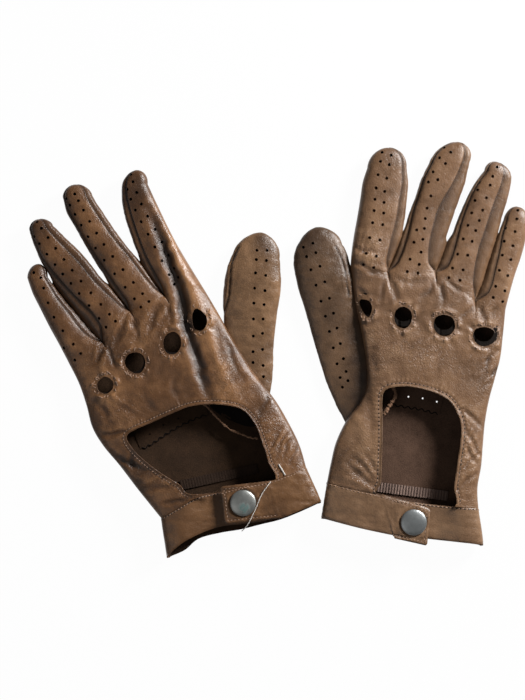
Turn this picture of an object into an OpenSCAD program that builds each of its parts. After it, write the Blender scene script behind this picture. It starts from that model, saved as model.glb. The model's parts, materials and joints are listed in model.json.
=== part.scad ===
// A pair of leather driving gloves, laid flat with the backs of the hands up.
// Millimetres. X runs across the pair, Y towards the fingertips, Z up from the table.
// The origin is on the table, under the middle of the pair.

/* [Leather] */
// Thickness of the glove leather
leather_t = 1; // [0.8:0.1:1.2]
// Thickness of the doubled leather of cuff and strap
band_t = 1.6; // [1.3:0.1:1.9]
// Thickness of the reinforcements sewn inside
lining_t = 0.6; // [0.4:0.1:0.8]
// Overall grading of the pattern, 1 being a size 8 pair
grade = 1; // [0.95:0.01:1.05]

/* [Heights] */
// Height of the hand at the wrist, as it lies
hand_h = 16; // [15:0.5:18]
// Height of the fingers, as they lie
finger_h = 12; // [11:0.5:13]
// Height of the thumb, as it lies
thumb_h = 10; // [9:0.5:11]
// Height of the flattened root of the thumb, under the edge of the hand
thumb_root_h = 6.4; // [6.2:0.1:6.6]

/* [Details] */
// Distance from a finger's side to the seam on its back
seam_inset = 1.8; // [1:0.1:2.5]
// Radius of the knuckle holes
knuckle_r = 5.6; // [4.5:0.1:6]
// Width of the leather ring sewn round each knuckle hole
facing_w = 3.4; // [2.5:0.1:4]
// Radius of the vent holes in the palm
vent_r = 1.5; // [1:0.1:2]
// Width of the elastic tape inside the wrist
elastic_w = 6; // [4:0.5:7]
// Thickness of the elastic tape
elastic_t = 1.2; // [0.8:0.1:1.5]

/* [Snap fastener] */
// Diameter of the cap
cap_d = 15.5; // [13:0.5:16.5]
// Height of the domed cap above the strap
cap_h = 2.6; // [2:0.1:3.2]
// Diameter of the socket under the strap, and of the stud's flange
socket_d = 11; // [10:0.5:12]
// Height of the socket
socket_h = 2; // [1.8:0.1:2.4]
// Diameter of the stud's head
stud_d = 6; // [5:0.1:6.4]
// Running clearance of the stud in the socket
snap_gap = 0.5; // [0.4:0.05:0.7]
// Diameter of the rivet shanks through the leather
shank_d = 3.2; // [2.6:0.1:3.6]
// Thickness of the flanges of stud and post
flange_t = 0.5; // [0.4:0.1:0.7]

/* [Hidden] */
part_gap = 0.3;          // between a strap and what lies under or beside it
seat = 0.1;              // round the root of the thumb, where it is sewn into the palm
k = 6;                   // steps across one finger
hand_rows = 6;           // steps from cuff to knuckles
rail_steps = 5;          // steps along a finger before its round tip
tip_turn = [34, 62, 84]; // angles at which the round fingertip is drawn
side_curve = 2.6;        // squareness of a finger's folded side
hand_curve = 3.6;        // squareness of the hand's sides
thumb_curve = 2.4;       // squareness of the thumb's section
seam_rise = 0.5;         // height of a seam, as a share of half a finger's height
flat_share = 1.06;       // how soon the underside is flat on the table
tan_leather = [0.46, 0.34, 0.24];
dark_leather = [0.25, 0.18, 0.13];
tape = [0.2, 0.16, 0.13];
steel = [0.62, 0.65, 0.66];

// Each finger is [left edge, right edge, fingertip], from its root to the start of the round
// tip, and the fingers are listed from left to right. Neighbours share their crotch point.
left_fingers = [
    [[[-124.5, -8], [-138, 18], [-146.5, 33], [-149.5, 43]],
     [[-104, 4], [-119, 17], [-130, 31.5], [-136.5, 43.5]], [-143, 51.5]],
    [[[-104, 4], [-118, 19], [-133, 41], [-146, 62], [-148, 71]],
     [[-88, 23.5], [-101, 39], [-114, 54], [-125, 65.5], [-133, 73]], [-142, 78]],
    [[[-88, 23.5], [-101, 40], [-112, 59], [-123.5, 78], [-128, 90]],
     [[-67.5, 32.5], [-79, 47], [-91, 65], [-101.5, 79], [-109.5, 90]], [-120.5, 98.5]],
    [[[-67.5, 32.5], [-80, 52], [-88, 69], [-93, 84], [-93.5, 95]],
     [[-46.5, 40], [-56, 55], [-64.5, 72], [-72, 87], [-77, 98]], [-85, 107]]];
right_fingers = [
    [[[43.5, 49], [44.5, 63], [47.5, 82], [50, 96], [53.5, 108]],
     [[65.5, 47], [72, 62], [76, 78], [77.5, 96], [76.5, 109]], [66, 120.5]],
    [[[65.5, 47], [73, 62], [79, 86], [85, 102], [90, 112]],
     [[94, 46], [99.5, 62], [105.5, 84], [111.5, 100], [114.5, 113]], [106.5, 124]],
    [[[94, 46], [102, 64], [108, 84], [116, 99], [123, 107.5]],
     [[118, 29.5], [124.5, 50], [131, 71], [137, 88], [139.5, 102]], [132, 111.5]],
    [[[118, 29.5], [124.5, 46], [130, 62], [134.5, 76.5]],
     [[136, 24], [140, 41], [145.5, 58], [149.5, 75]], [143.5, 85.5]]];

// Sides of the hand, from the cuff seam to the root of the outer fingers.
left_hand_sides = [
    [[-69.5, -100], [-84, -79.5], [-104, -57], [-114, -33], [-124.5, -8]],
    [[17, -70], [10, -48], [-7, -23], [-28, 9], [-46.5, 40]]];
right_hand_sides = [
    [[29.5, -78.5], [35, -52], [50, -27], [51, 5], [43.5, 49]],
    [[119.5, -94], [121.5, -62], [125.5, -32], [133.5, -2], [136, 24]]];

// Seam between hand and cuff, and the lower edges of the cuff on the back and the palm.
left_cuff = [
    [[-69.5, -100], [-47.5, -87], [-25, -82], [-4, -77.5], [17, -70]],
    [[-66, -123], [-46, -109.5], [-22, -103.5], [2, -99.5], [26, -90]],
    [[-66, -124], [-46, -114], [-22, -107.5], [2, -101.5], [26, -91]]];
right_cuff = [
    [[29.5, -78.5], [61, -86], [82, -90.5], [101.5, -92.5], [119.5, -94]],
    [[26, -99], [68.5, -109.5], [84, -111.5], [102, -113.5], [122.5, -116]],
    [[26, -100], [68.5, -110.5], [84, -112.5], [102, -114.5], [122.5, -117]]];

// Window in the back of the hand, from one end of the strap round to the other.
left_window = [[-4, -77.5], [-7, -63], [-13, -47], [-23, -35.5], [-41, -32], [-60, -36.5],
               [-79, -45], [-89, -49.5], [-90, -54.5], [-82, -62], [-66, -74.5], [-47.5, -87]];
right_window = [[61, -86], [62, -65], [62.5, -45], [62, -30], [65, -23.5], [76, -21.5],
                [91, -24.5], [102, -31], [109, -44], [107.5, -62], [104.5, -78], [101.5, -92.5]];

// Centres of the knuckle holes.
left_knuckles = [[-103.5, -19.5], [-85.5, -7], [-62.5, 4.5], [-46.5, 17]];
right_knuckles = [[53.5, 27], [75, 23], [99, 18], [122.5, 11]];

// Thumb from tip to root, as [centre, half width, share of the way from tip height to root
// height, how far the top of the section is drawn back towards the tip].
left_thumb = [[[-11.5, 69], 4, 0.2, 0], [[-12, 65.5], 10, 0, 0], [[-13.5, 56], 14.5, 0, 0],
              [[-15, 40], 16, 0, 0], [[-16.5, 20], 15.3, 0.6, 0], [[-17, 2], 14.5, 1, 0],
              [[-18, -14], 15, 1, 2], [[-22, -28], 16.5, 1, 8], [[-28.5, -42], 18, 1, 17]];
right_thumb = [[[22.5, 72], 4, 0.2, 0], [[23, 68.5], 10, 0, 0], [[25, 59], 15, 0, 0],
               [[29, 42], 16.2, 0, 0], [[34, 23], 16, 0.6, 0], [[38.5, 5], 16, 1, 0],
               [[43, -9], 16, 1, 2], [[48, -22], 16, 1, 8], [[54, -35], 15.5, 1, 17]];

// Strap as [root line, free end line], each from the fingertip side to the wrist side,
// and the snap's centre.
left_strap = [[[-4.2, -77.5], [1.8, -99.5]], [[-34, -80.5], [-31.5, -103]], [-20.5, -90.5]];
right_strap = [[[61.3, -86], [68.8, -109.5]], [[91, -93], [88.5, -115.5]], [80.5, -102]];

// Cuff as shares of the way across the back: the strap's root, the end of the window on the
// other side, where the underlap is level, and its free end.
left_wrap = [0.75, 0.25, 0.36, 0.66];
right_wrap = [0.25, 0.75, 0.64, 0.37];

// Scalloped edge of the reinforcement inside the palm, and the vent holes beyond it.
left_scallop = [[-82, -59.5], [-41.5, -38.5]];
right_scallop = [[70, -33], [96.5, -38.5]];
left_vents = [[-76.5, -50.5], [-68.5, -45], [-59.5, -41]];
right_vents = [[78.5, -28], [87, -29], [95.5, -31]];
// Elastic tape inside the wrist, as the two ends of its middle line.
left_tape = [[-58, -81], [-12, -71]];
right_tape = [[60, -82], [102, -87.5]];

// [fingers, sides, cuff, window, knuckles, thumb, strap, wrap, scallop, vents, tape]
left_glove = [left_fingers, left_hand_sides, left_cuff, left_window, left_knuckles, left_thumb,
              left_strap, left_wrap, left_scallop, left_vents, left_tape];
right_glove = [right_fingers, right_hand_sides, right_cuff, right_window, right_knuckles,
               right_thumb, right_strap, right_wrap, right_scallop, right_vents, right_tape];

strap_under = hand_h - band_t;                      // underside of the strap
flange_top = strap_under - socket_h - part_gap;     // top of the stud's flange
underlap_z = flange_top - flange_t;                 // top of the underlap

PIECES = ["back_panel", "palm_panel", "thumb", "fourchette_1", "fourchette_2", "fourchette_3",
          "knuckle_facings", "palm_patch", "wrist_elastic", "cuff_band", "strap", "snap_cap",
          "snap_socket", "snap_stud", "snap_post"];

// ---- curves ----
function mix(a, b, t) = a + (b - a) * t;
function ease(t) = let (c = min(1, max(0, t))) c * c * (3 - 2 * c);
function flat(lists) = [for (l = lists) each l];
function bend(a, b, c, d, t) =
    (2 * b + (c - a) * t + (2 * a - 5 * b + 4 * c - d) * t * t
     + (3 * b - a - 3 * c + d) * t * t * t) / 2;
// Point at share s of the way along a smooth curve through the points.
function along(points, s) =
    let (n = len(points) - 1, f = max(0, min(n, s * n)), i = min(n - 1, floor(f)))
    grade * bend(points[max(0, i - 1)], points[i], points[i + 1], points[min(n, i + 2)], f - i);
// Rounded profile from 0 at the sides (w = -1 or 1) to 1 in the middle.
function arch(w, square) = pow(1 - pow(min(1, abs(w)), square), 1 / square);
function spread(j) = -cos(180 * j / k);

// ---- fingers ----
steps = rail_steps + len(tip_turn);
// [left edge, right edge, half height] at step i of a finger, drawn in by an inset.
function station(finger, i, inset) =
    let (s = min(1, i / rail_steps), l = along(finger[0], s), r = along(finger[1], s),
         c = (l + r) / 2, h = (r - l) / 2, in_h = h * (1 - inset / norm(h)),
         tip = grade * finger[2] - c, in_tip = tip * (1 - inset / norm(tip)),
         a = i > rail_steps ? tip_turn[i - rail_steps - 1] : 0,
         share = i < steps ? pow(cos(a), 0.6) : 0.05,
         c2 = c + in_tip * sin(a))
    [c2 - in_h * cos(a), c2 + in_h * cos(a), max(0.1, finger_h / 2 * share - inset)];
// How far the seam stands in from the finger's side, as a share of its half width.
function seam_in(finger, i) =
    let (s = min(1, i / rail_steps))
    min(1, i / 2) * seam_inset * 2 / norm(along(finger[1], s) - along(finger[0], s));
// Point of a finger at x across it and z up it, both as shares from -1 to 1.
function finger_point(s, x, z) =
    let (p = mix(s[0], s[1], (x + 1) / 2)) [p[0], p[1], finger_h / 2 + z * s[2]];
// Height of a section at w; a seam stands at seam_rise, and a folded side at 0.
function rise(w, folded) =
    folded ? arch(w, side_curve) : seam_rise + (1 - seam_rise) * arch(w, 2);
function level(up, z) = up > 0 ? z : -min(1, z * flat_share);
// One row of points across a finger's back (up = 1) or palm side (up = -1).
function finger_row(finger, i, folded, up, inset) =
    let (s = station(finger, i, inset), in = seam_in(finger, i),
         l = folded[0] ? -1 : in - 1, r = folded[1] ? 1 : 1 - in)
    [for (j = [0:k])
        let (w = spread(j))
        finger_point(s, mix(l, r, (w + 1) / 2), level(up, rise(w, w < 0 ? folded[0] : folded[1])))];

// ---- hand ----
function folded_sides(q) = [q == 0, q == 3];
function hand_mid(v) = mix(hand_h, finger_h, pow(v, 1.5)) / 2;
// Share of the way across the hand of column j.
function across(j) = (floor(j / k) + (1 + spread(j % k)) / 2) / 4;
function knuckle_row(glove, up) =
    [for (q = [0:3], j = [(q == 0 ? 0 : 1):k])
        finger_row(glove[0][q], 0, folded_sides(q), up, 0)[j]];
// Point of the hand's outline grid at u across and v up, between its four edges.
function hand_plan(glove, u, v, knuckle) =
    let (low = glove[2][0], l = glove[1][0], r = glove[1][1])
    mix(along(low, u), [knuckle[0], knuckle[1]], v) + mix(along(l, v), along(r, v), u)
    - mix(mix(along(low, 0), along(low, 1), u), mix(along(l, 1), along(r, 1), u), v);
// One row of points across the back (up = 1) or palm (up = -1) of the hand.
function hand_row(glove, v, up, inset) =
    let (knuckles = knuckle_row(glove, up), mid = hand_mid(v),
         l = along(glove[1][0], v), r = along(glove[1][1], v), c = (l + r) / 2,
         pull = inset / norm(r - c), lobes = ease((v - 0.55) / 0.45))
    [for (j = [0:4 * k])
        let (u = across(j), p = hand_plan(glove, u, v, knuckles[j]),
             plain = level(up, arch(2 * u - 1, hand_curve)),
             lobed = (knuckles[j][2] - finger_h / 2) / (finger_h / 2),
             q = p + (c - p) * pull)
        [q[0], q[1], mid + mix(plain, lobed, lobes) * (mid - inset)]];

// ---- sheets and lofts ----
function quad(a, b, c, d) = [[a, b, c], [a, c, d]];
// Solid through a list of rings of points, each seen clockwise from the ring before it.
module loft(rings) {
    n = len(rings[0]);
    last = (len(rings) - 1) * n;
    polyhedron(
        flat(rings),
        concat(
            [for (i = [1:n - 2]) [0, i, i + 1]],
            flat([for (r = [0:len(rings) - 2], i = [0:n - 1])
                let (a = r * n + i, b = r * n + (i + 1) % n) quad(b, a, a + n, b + n)]),
            [for (i = [1:n - 2]) [last, last + i + 1, last + i]]));
}
// The hand's back or palm between an upper and a lower skin, with or without its four fingers.
module trank(glove, up, upper_inset, lower_inset, fingers = true) {
    cols = 4 * k + 1;
    hand_n = cols * (hand_rows + 1);
    finger_n = (k + 1) * steps;
    skin = function (inset) concat(
        flat([for (r = [0:hand_rows]) hand_row(glove, r / hand_rows, up, inset)]),
        fingers ? flat([for (q = [0:3], i = [1:steps])
            finger_row(glove[0][q], i, folded_sides(q), up, inset)]) : []);
    skin_n = hand_n + (fingers ? 4 * finger_n : 0);
    hand_id = function (r, c) r * cols + c;
    finger_id = function (q, i, j)
        i == 0 ? hand_id(hand_rows, q * k + j) : hand_n + q * finger_n + (i - 1) * (k + 1) + j;
    hand_quads = [for (r = [0:hand_rows - 1], c = [0:cols - 2])
        [hand_id(r, c), hand_id(r + 1, c), hand_id(r + 1, c + 1), hand_id(r, c + 1)]];
    finger_quads = [for (q = [0:3], i = [0:steps - 1], j = [0:k - 1])
        [finger_id(q, i, j), finger_id(q, i + 1, j), finger_id(q, i + 1, j + 1),
         finger_id(q, i, j + 1)]];
    sides = concat(
        [for (c = [0:cols - 2]) [hand_id(0, c), hand_id(0, c + 1)]],
        [for (r = [0:hand_rows - 1]) each
            [[hand_id(r + 1, 0), hand_id(r, 0)], [hand_id(r, cols - 1), hand_id(r + 1, cols - 1)]]]);
    hand_end = [for (c = [0:cols - 2]) [hand_id(hand_rows, c + 1), hand_id(hand_rows, c)]];
    finger_sides = concat(
        [for (q = [0:3], i = [0:steps - 1]) each
            [[finger_id(q, i + 1, 0), finger_id(q, i, 0)],
             [finger_id(q, i, k), finger_id(q, i + 1, k)]]],
        [for (q = [0:3], j = [0:k - 1]) [finger_id(q, steps, j + 1), finger_id(q, steps, j)]]);
    quads = concat(hand_quads, fingers ? finger_quads : []);
    rim = concat(sides, fingers ? finger_sides : hand_end);
    polyhedron(
        concat(skin(upper_inset), skin(lower_inset)),
        concat(flat([for (f = quads) quad(f[0], f[1], f[2], f[3])]),
               flat([for (f = quads)
                   quad(f[2] + skin_n, f[1] + skin_n, f[0] + skin_n, f[3] + skin_n)]),
               flat([for (e = rim) quad(e[0], e[1], e[1] + skin_n, e[0] + skin_n)])));
}
module upright(z, h) {
    translate([0, 0, z])
        linear_extrude(h)
            children();
}
module at(p) {
    translate([grade * p[0], grade * p[1], 0])
        children();
}

// ---- leather panels ----
module window_cut(glove) {
    strap_root = glove[6][0][1];
    strap_side = glove[7][1] < 0.5 ? along(glove[2][2], 0.25) : along(glove[2][2], 0.75);
    upright(hand_mid(0) + 0.01, hand_h)
        polygon(concat([for (i = [0:33]) along(glove[3], i / 33)],
                       [strap_side, grade * strap_root]));
}
module knuckle_discs(glove, r) {
    for (p = glove[4])
        at(p)
            translate([0, 0, finger_h / 2])
                cylinder(r = r, h = hand_h, $fn = 40);
}
module back_panel(glove) {
    color(tan_leather)
        difference() {
            trank(glove, 1, 0, leather_t);
            window_cut(glove);
            knuckle_discs(glove, knuckle_r);
        }
}
module knuckle_facings(glove) {
    color(dark_leather)
        intersection() {
            trank(glove, 1, leather_t, leather_t + lining_t, false);
            difference() {
                knuckle_discs(glove, knuckle_r + facing_w);
                translate([0, 0, -1])
                    knuckle_discs(glove, knuckle_r + 0.4);
            }
        }
}
module vents(glove) {
    for (p = glove[9])
        at(p)
            translate([0, 0, -1])
                cylinder(r = vent_r, h = hand_h / 2, $fn = 24);
}
module palm_panel(glove) {
    color(tan_leather)
        difference() {
            trank(glove, -1, leather_t, 0);
            loft(thumb_rings(glove[5], -seat));
            vents(glove);
        }
}

// ---- thumb ----
function thumb_ring(thumb, i, inset) =
    let (last = len(thumb) - 1, s = thumb[i],
         run = thumb[min(last, i + 1)][0] - thumb[max(0, i - 1)][0], axis = run / norm(run),
         side = [-axis[1], axis[0]],
         half_h = mix(thumb_h, thumb_root_h, s[2]) / 2,
         end_in = i == 0 ? inset : i == last ? max(0, -inset) : 0)
    [for (a = [11.25:22.5:360])
        let (x = sign(cos(a)) * pow(abs(cos(a)), 2 / thumb_curve),
             z = sign(sin(a)) * pow(abs(sin(a)), 2 / thumb_curve),
             up = half_h + z * (half_h - inset),
             p = grade * s[0] + side * x * (grade * s[1] - inset)
                 - axis * (s[3] * up / half_h / 2 - end_in))
        [p[0], p[1], up]];
function thumb_rings(thumb, inset) = [for (i = [0:len(thumb) - 1]) thumb_ring(thumb, i, inset)];
module thumb(glove) {
    inner = thumb_rings(glove[5], leather_t);
    color(tan_leather)
        loft(concat(thumb_rings(glove[5], 0), [for (i = [len(inner) - 1:-1:0]) inner[i]]));
}

// ---- fourchettes ----
// Section of the strip on one side (-1 left, 1 right) of a finger, from back seam to palm seam
// outside and back again inside.
function strip_ring(finger, i, side) =
    let (in = 1 - seam_in(finger, i), low = level(-1, seam_rise), o = station(finger, i, 0),
         n = station(finger, i, leather_t))
    [finger_point(o, side * in, seam_rise), finger_point(o, side, seam_rise / 2),
     finger_point(o, side, low / 2), finger_point(o, side * in, low),
     finger_point(n, side * in, low), finger_point(n, side, low / 2),
     finger_point(n, side, seam_rise / 2), finger_point(n, side * in, seam_rise)];
// Section where two fingers meet.
function crotch_ring(glove, q) =
    let (o = knuckle_row(glove, 1)[(q + 1) * k], low = level(-1, seam_rise), h = finger_h / 2,
         a = station(glove[0][q], 1, 0), b = station(glove[0][q + 1], 1, 0),
         back = (a[1] + b[0]) / 2 - [o[0], o[1]], p = [o[0], o[1]] - back / norm(back) * leather_t,
         top_in = hand_row(glove, 1, 1, leather_t)[(q + 1) * k],
         low_in = hand_row(glove, 1, -1, leather_t)[(q + 1) * k])
    [o, [o[0], o[1], h * (1 + seam_rise / 2)], [o[0], o[1], h * (1 + low / 2)],
     [o[0], o[1], h * (1 + low)], low_in, [p[0], p[1], h * (1 + low / 2)],
     [p[0], p[1], h * (1 + seam_rise / 2)], top_in];
module fourchette(glove, q) {
    color(dark_leather)
        loft(concat([for (i = [steps:-1:1]) strip_ring(glove[0][q + 1], i, -1)],
                    [crotch_ring(glove, q)],
                    [for (i = [1:steps]) strip_ring(glove[0][q], i, 1)]));
}

// ---- linings ----
module palm_patch(glove) {
    a = grade * glove[8][0];
    b = grade * glove[8][1];
    run = (b - a) / norm(b - a);
    out = [-run[1], run[0]];
    waves = 6;
    edge = [for (i = [0:4 * waves])
        mix(a, b, i / (4 * waves)) + out * 0.7 * sin(90 * i) * (i % 4 == 0 ? 0 : 1)];
    color(dark_leather)
        intersection() {
            trank(glove, -1, leather_t + lining_t, leather_t, false);
            difference() {
                upright(-1, hand_h / 2)
                    polygon(concat(edge, [b + out * 11, a + out * 11]));
                vents(glove);
            }
        }
}
module wrist_elastic(glove) {
    a = grade * glove[10][0];
    b = grade * glove[10][1];
    color(tape)
        translate([a[0], a[1], leather_t])
            rotate(atan2(b[1] - a[1], b[0] - a[0]))
                difference() {
                    translate([0, -elastic_w / 2, 0])
                        cube([norm(b - a), elastic_w, elastic_t]);
                    for (i = [-1:1])
                        translate([-1, i * elastic_w / 4 - 0.3, elastic_t * 0.7])
                            cube([norm(b - a) + 2, 0.6, elastic_t]);
                }
}

// ---- cuff and strap ----
// Section of the cuff at u across its back (up = 1) or palm (up = -1); drop is 1 on the underlap.
function cuff_ring(glove, u, up, drop) =
    let (w = 2 * u - 1, z = level(up, arch(w, hand_curve)), mid = hand_h / 2,
         low = glove[2][up > 0 ? 1 : 2], c = along(glove[2][0], 0.5),
         half = norm(along(glove[2][0], 1) - along(glove[2][0], 0)) / 2,
         pull = band_t / half * pow(abs(w), 3),
         top = mix(mid * (1 + z), underlap_z, drop),
         bottom = mix(mid + z * (mid - band_t), underlap_z - band_t, drop),
         p = along(glove[2][0], u), q = along(low, u),
         shift = drop > 0 ? 0 : 1,
         p2 = p + (c - p) * pull * shift, q2 = q + (c - p) * pull * shift)
    [[p[0], p[1], top], [q[0], q[1], top], [q2[0], q2[1], bottom], [p2[0], p2[1], bottom]];
module cuff_band(glove) {
    wrap = glove[7];
    way = wrap[0] > 0.5 ? 1 : -1;
    side = wrap[0] > 0.5 ? 1 : 0;
    back = [for (j = [0:4 * k]) across(j)];
    home = [for (u = back) if (way * (u - wrap[0]) > 0.01) u];
    far = [for (u = back) if (way * (wrap[1] - u) > 0.01) u];
    home_out = side == 1 ? home : [for (i = [len(home) - 1:-1:0]) home[i]];
    palm = side == 1 ? [for (i = [4 * k - 1:-1:1]) back[i]] : [for (i = [1:4 * k - 1]) back[i]];
    far_in = side == 1 ? far : [for (i = [len(far) - 1:-1:0]) far[i]];
    rings = concat(
        [cuff_ring(glove, wrap[0], 1, 0)],
        [for (u = home_out) cuff_ring(glove, u, 1, 0)],
        [for (u = palm) cuff_ring(glove, u, -1, 0)],
        [for (u = far_in) cuff_ring(glove, u, 1, 0)],
        [for (t = [0:0.5:1]) cuff_ring(glove, mix(wrap[1], wrap[2], t), 1, ease(t))],
        [cuff_ring(glove, wrap[3], 1, 1)]);
    n = len(rings) - 1;
    color(tan_leather)
        difference() {
            loft(side == 1 ? rings : [for (i = [n:-1:0]) rings[i]]);
            at(glove[6][2])
                translate([0, 0, underlap_z - 2 * band_t])
                    cylinder(d = shank_d, h = 3 * band_t, $fn = 32);
        }
}
module strap(glove) {
    root = grade * glove[6][0];
    end = grade * glove[6][1];
    run = (end[0] - root[0]) / norm(end[0] - root[0]);
    corner = 3;
    color(tan_leather)
        difference() {
            upright(strap_under, band_t)
                polygon([root[0] + run * part_gap, end[0] - run * corner,
                         mix(end[0], end[1], 0.04) , mix(end[0], end[1], 0.12),
                         mix(end[0], end[1], 0.88), mix(end[0], end[1], 0.97) - run * 0.8,
                         end[1] - run * corner, root[1] + run * part_gap]);
            at(glove[6][2])
                translate([0, 0, strap_under - 1])
                    cylinder(d = shank_d, h = band_t + 2, $fn = 32);
        }
}

// ---- snap fastener, each piece standing on the strap or hanging from it ----
module snap_cap(glove) {
    color(steel)
        at(glove[6][2])
            translate([0, 0, hand_h])
                rotate_extrude($fn = 64)
                    polygon(concat(
                        [[0, -band_t], [shank_d / 2, -band_t], [shank_d / 2, 0], [cap_d / 2 - 0.8, 0],
                         [cap_d / 2, 0.4], [cap_d / 2, 0.9]],
                        [for (a = [10:10:80])
                            [cap_d / 2 * cos(a), 0.9 + (cap_h - 0.9) * sin(a)]],
                        [[0, cap_h]]));
}
module snap_socket(glove) {
    color(steel)
        at(glove[6][2])
            translate([0, 0, strap_under - socket_h])
                rotate_extrude($fn = 64)
                    polygon([[stud_d / 2 + snap_gap, 0], [socket_d / 2 - 0.5, 0], [socket_d / 2, 0.5],
                             [socket_d / 2, socket_h], [0, socket_h], [0, socket_h - 0.4],
                             [stud_d / 2 + snap_gap, socket_h - 0.4]]);
}
module snap_stud(glove) {
    head_h = socket_h - 0.4 - 0.2;
    color(steel)
        at(glove[6][2])
            translate([0, 0, underlap_z])
                rotate_extrude($fn = 64)
                    polygon([[0, -band_t], [shank_d / 2, -band_t], [shank_d / 2, 0],
                             [socket_d / 2, 0], [socket_d / 2, flange_t], [stud_d / 2 - 0.4, flange_t],
                             [stud_d / 2 - 0.4, flange_t + part_gap + 0.2],
                             [stud_d / 2, flange_t + part_gap + 0.6],
                             [stud_d / 2 - 0.6, flange_t + part_gap + head_h],
                             [0, flange_t + part_gap + head_h]]);
}
module snap_post(glove) {
    color(steel)
        at(glove[6][2])
            translate([0, 0, underlap_z - band_t - flange_t])
                cylinder(d = socket_d - 1, h = flange_t, $fn = 64);
}

back_panel(left_glove);  // left_back_panel
palm_panel(left_glove);  // left_palm_panel
thumb(left_glove);  // left_thumb
fourchette(left_glove, 0);  // left_fourchette_1
fourchette(left_glove, 1);  // left_fourchette_2
fourchette(left_glove, 2);  // left_fourchette_3
knuckle_facings(left_glove);  // left_knuckle_facings
palm_patch(left_glove);  // left_palm_patch
wrist_elastic(left_glove);  // left_wrist_elastic
cuff_band(left_glove);  // left_cuff_band
strap(left_glove);  // left_strap
snap_cap(left_glove);  // left_snap_cap
snap_socket(left_glove);  // left_snap_socket
snap_stud(left_glove);  // left_snap_stud
snap_post(left_glove);  // left_snap_post
back_panel(right_glove);  // right_back_panel
palm_panel(right_glove);  // right_palm_panel
thumb(right_glove);  // right_thumb
fourchette(right_glove, 0);  // right_fourchette_1
fourchette(right_glove, 1);  // right_fourchette_2
fourchette(right_glove, 2);  // right_fourchette_3
knuckle_facings(right_glove);  // right_knuckle_facings
palm_patch(right_glove);  // right_palm_patch
wrist_elastic(right_glove);  // right_wrist_elastic
cuff_band(right_glove);  // right_cuff_band
strap(right_glove);  // right_strap
snap_cap(right_glove);  // right_snap_cap
snap_socket(right_glove);  // right_snap_socket
snap_stud(right_glove);  // right_snap_stud
snap_post(right_glove);  // right_snap_post
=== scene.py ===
"""Dresses a pair of leather driving gloves: leather, seams, stitches, perforations and snaps."""
import json
import logging
import math
from dataclasses import dataclass, field
from enum import Enum
from typing import Callable, Sequence, Union

import bmesh
import bpy
import numpy as np
from bpy.types import Material, Mesh, Node, NodeSocket, NodeTree, Object
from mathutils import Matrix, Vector
from mathutils.bvhtree import BVHTree

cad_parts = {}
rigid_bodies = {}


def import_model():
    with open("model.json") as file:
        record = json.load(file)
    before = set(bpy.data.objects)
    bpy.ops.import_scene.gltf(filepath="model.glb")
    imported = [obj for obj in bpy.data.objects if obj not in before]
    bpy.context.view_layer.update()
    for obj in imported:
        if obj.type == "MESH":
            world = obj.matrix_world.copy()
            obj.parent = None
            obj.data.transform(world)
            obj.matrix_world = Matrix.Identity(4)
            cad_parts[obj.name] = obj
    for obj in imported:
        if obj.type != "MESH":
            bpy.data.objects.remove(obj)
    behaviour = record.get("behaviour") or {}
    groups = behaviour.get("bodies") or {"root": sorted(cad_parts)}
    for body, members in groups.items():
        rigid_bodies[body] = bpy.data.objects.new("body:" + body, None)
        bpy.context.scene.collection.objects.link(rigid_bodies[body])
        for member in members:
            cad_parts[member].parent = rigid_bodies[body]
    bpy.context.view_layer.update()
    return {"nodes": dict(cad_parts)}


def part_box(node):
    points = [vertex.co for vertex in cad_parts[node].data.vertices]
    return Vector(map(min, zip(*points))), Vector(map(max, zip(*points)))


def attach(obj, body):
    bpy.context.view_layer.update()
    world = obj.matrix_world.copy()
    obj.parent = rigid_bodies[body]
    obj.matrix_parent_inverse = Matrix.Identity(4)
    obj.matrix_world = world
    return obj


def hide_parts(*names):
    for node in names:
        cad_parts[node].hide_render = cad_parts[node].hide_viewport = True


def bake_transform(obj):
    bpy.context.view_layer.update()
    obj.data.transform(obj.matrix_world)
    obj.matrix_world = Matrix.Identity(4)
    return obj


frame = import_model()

# ---- sizes, in millimetres, and counts ----
MM = 0.001
LEATHER_T = 1.0
BAND_T = 1.6
LINING_T = 0.6
HAND_H = 16.0
FINGER_H = 12.0
THUMB_H = 10.0
THUMB_ROOT_H = 6.4
CAP_H = 2.6
FLAT_SHARE = 1.06
ROW_STEP = 0.8
FINGER_COLUMNS = 28
TIP_ROWS = 14
STRIP_COLUMNS = 18
SEAM_DIP = 0.07
TIP_SQUARE = 2.0
THUMB_POINTED = 1.7
INSET_SMOOTH = 25
TAPE_RIB = 1.7
HAND_SQUARE = 3.6
UNDERLAP_H = HAND_H - BAND_T - 2.8
VENT_RADIUS = 0.55
PUNCH_DEPTH = 4.0
HOLE_RADIUS = 0.92
TUBE_SIDES = 8
SKY_H = 100.0
FAR = 1e9

Point = tuple[float, float]
Line = Sequence[Point]
Array = np.ndarray
Values = Array | float
log = logging.getLogger("gloves")


class Side(Enum):
    """Which glove of the pair."""

    LEFT = "left"
    RIGHT = "right"


class Face(Enum):
    """Which face of the hand."""

    BACK = "back"
    PALM = "palm"


class Body(Enum):
    """Which of a glove's moving bodies."""

    GLOVE = "glove"
    STRAP = "strap"


class Slot(Enum):
    """Material slots of the record."""

    TAN = "tan_leather"
    DARK = "dark_leather"
    ELASTIC = "elastic"
    STEEL = "steel"


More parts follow.
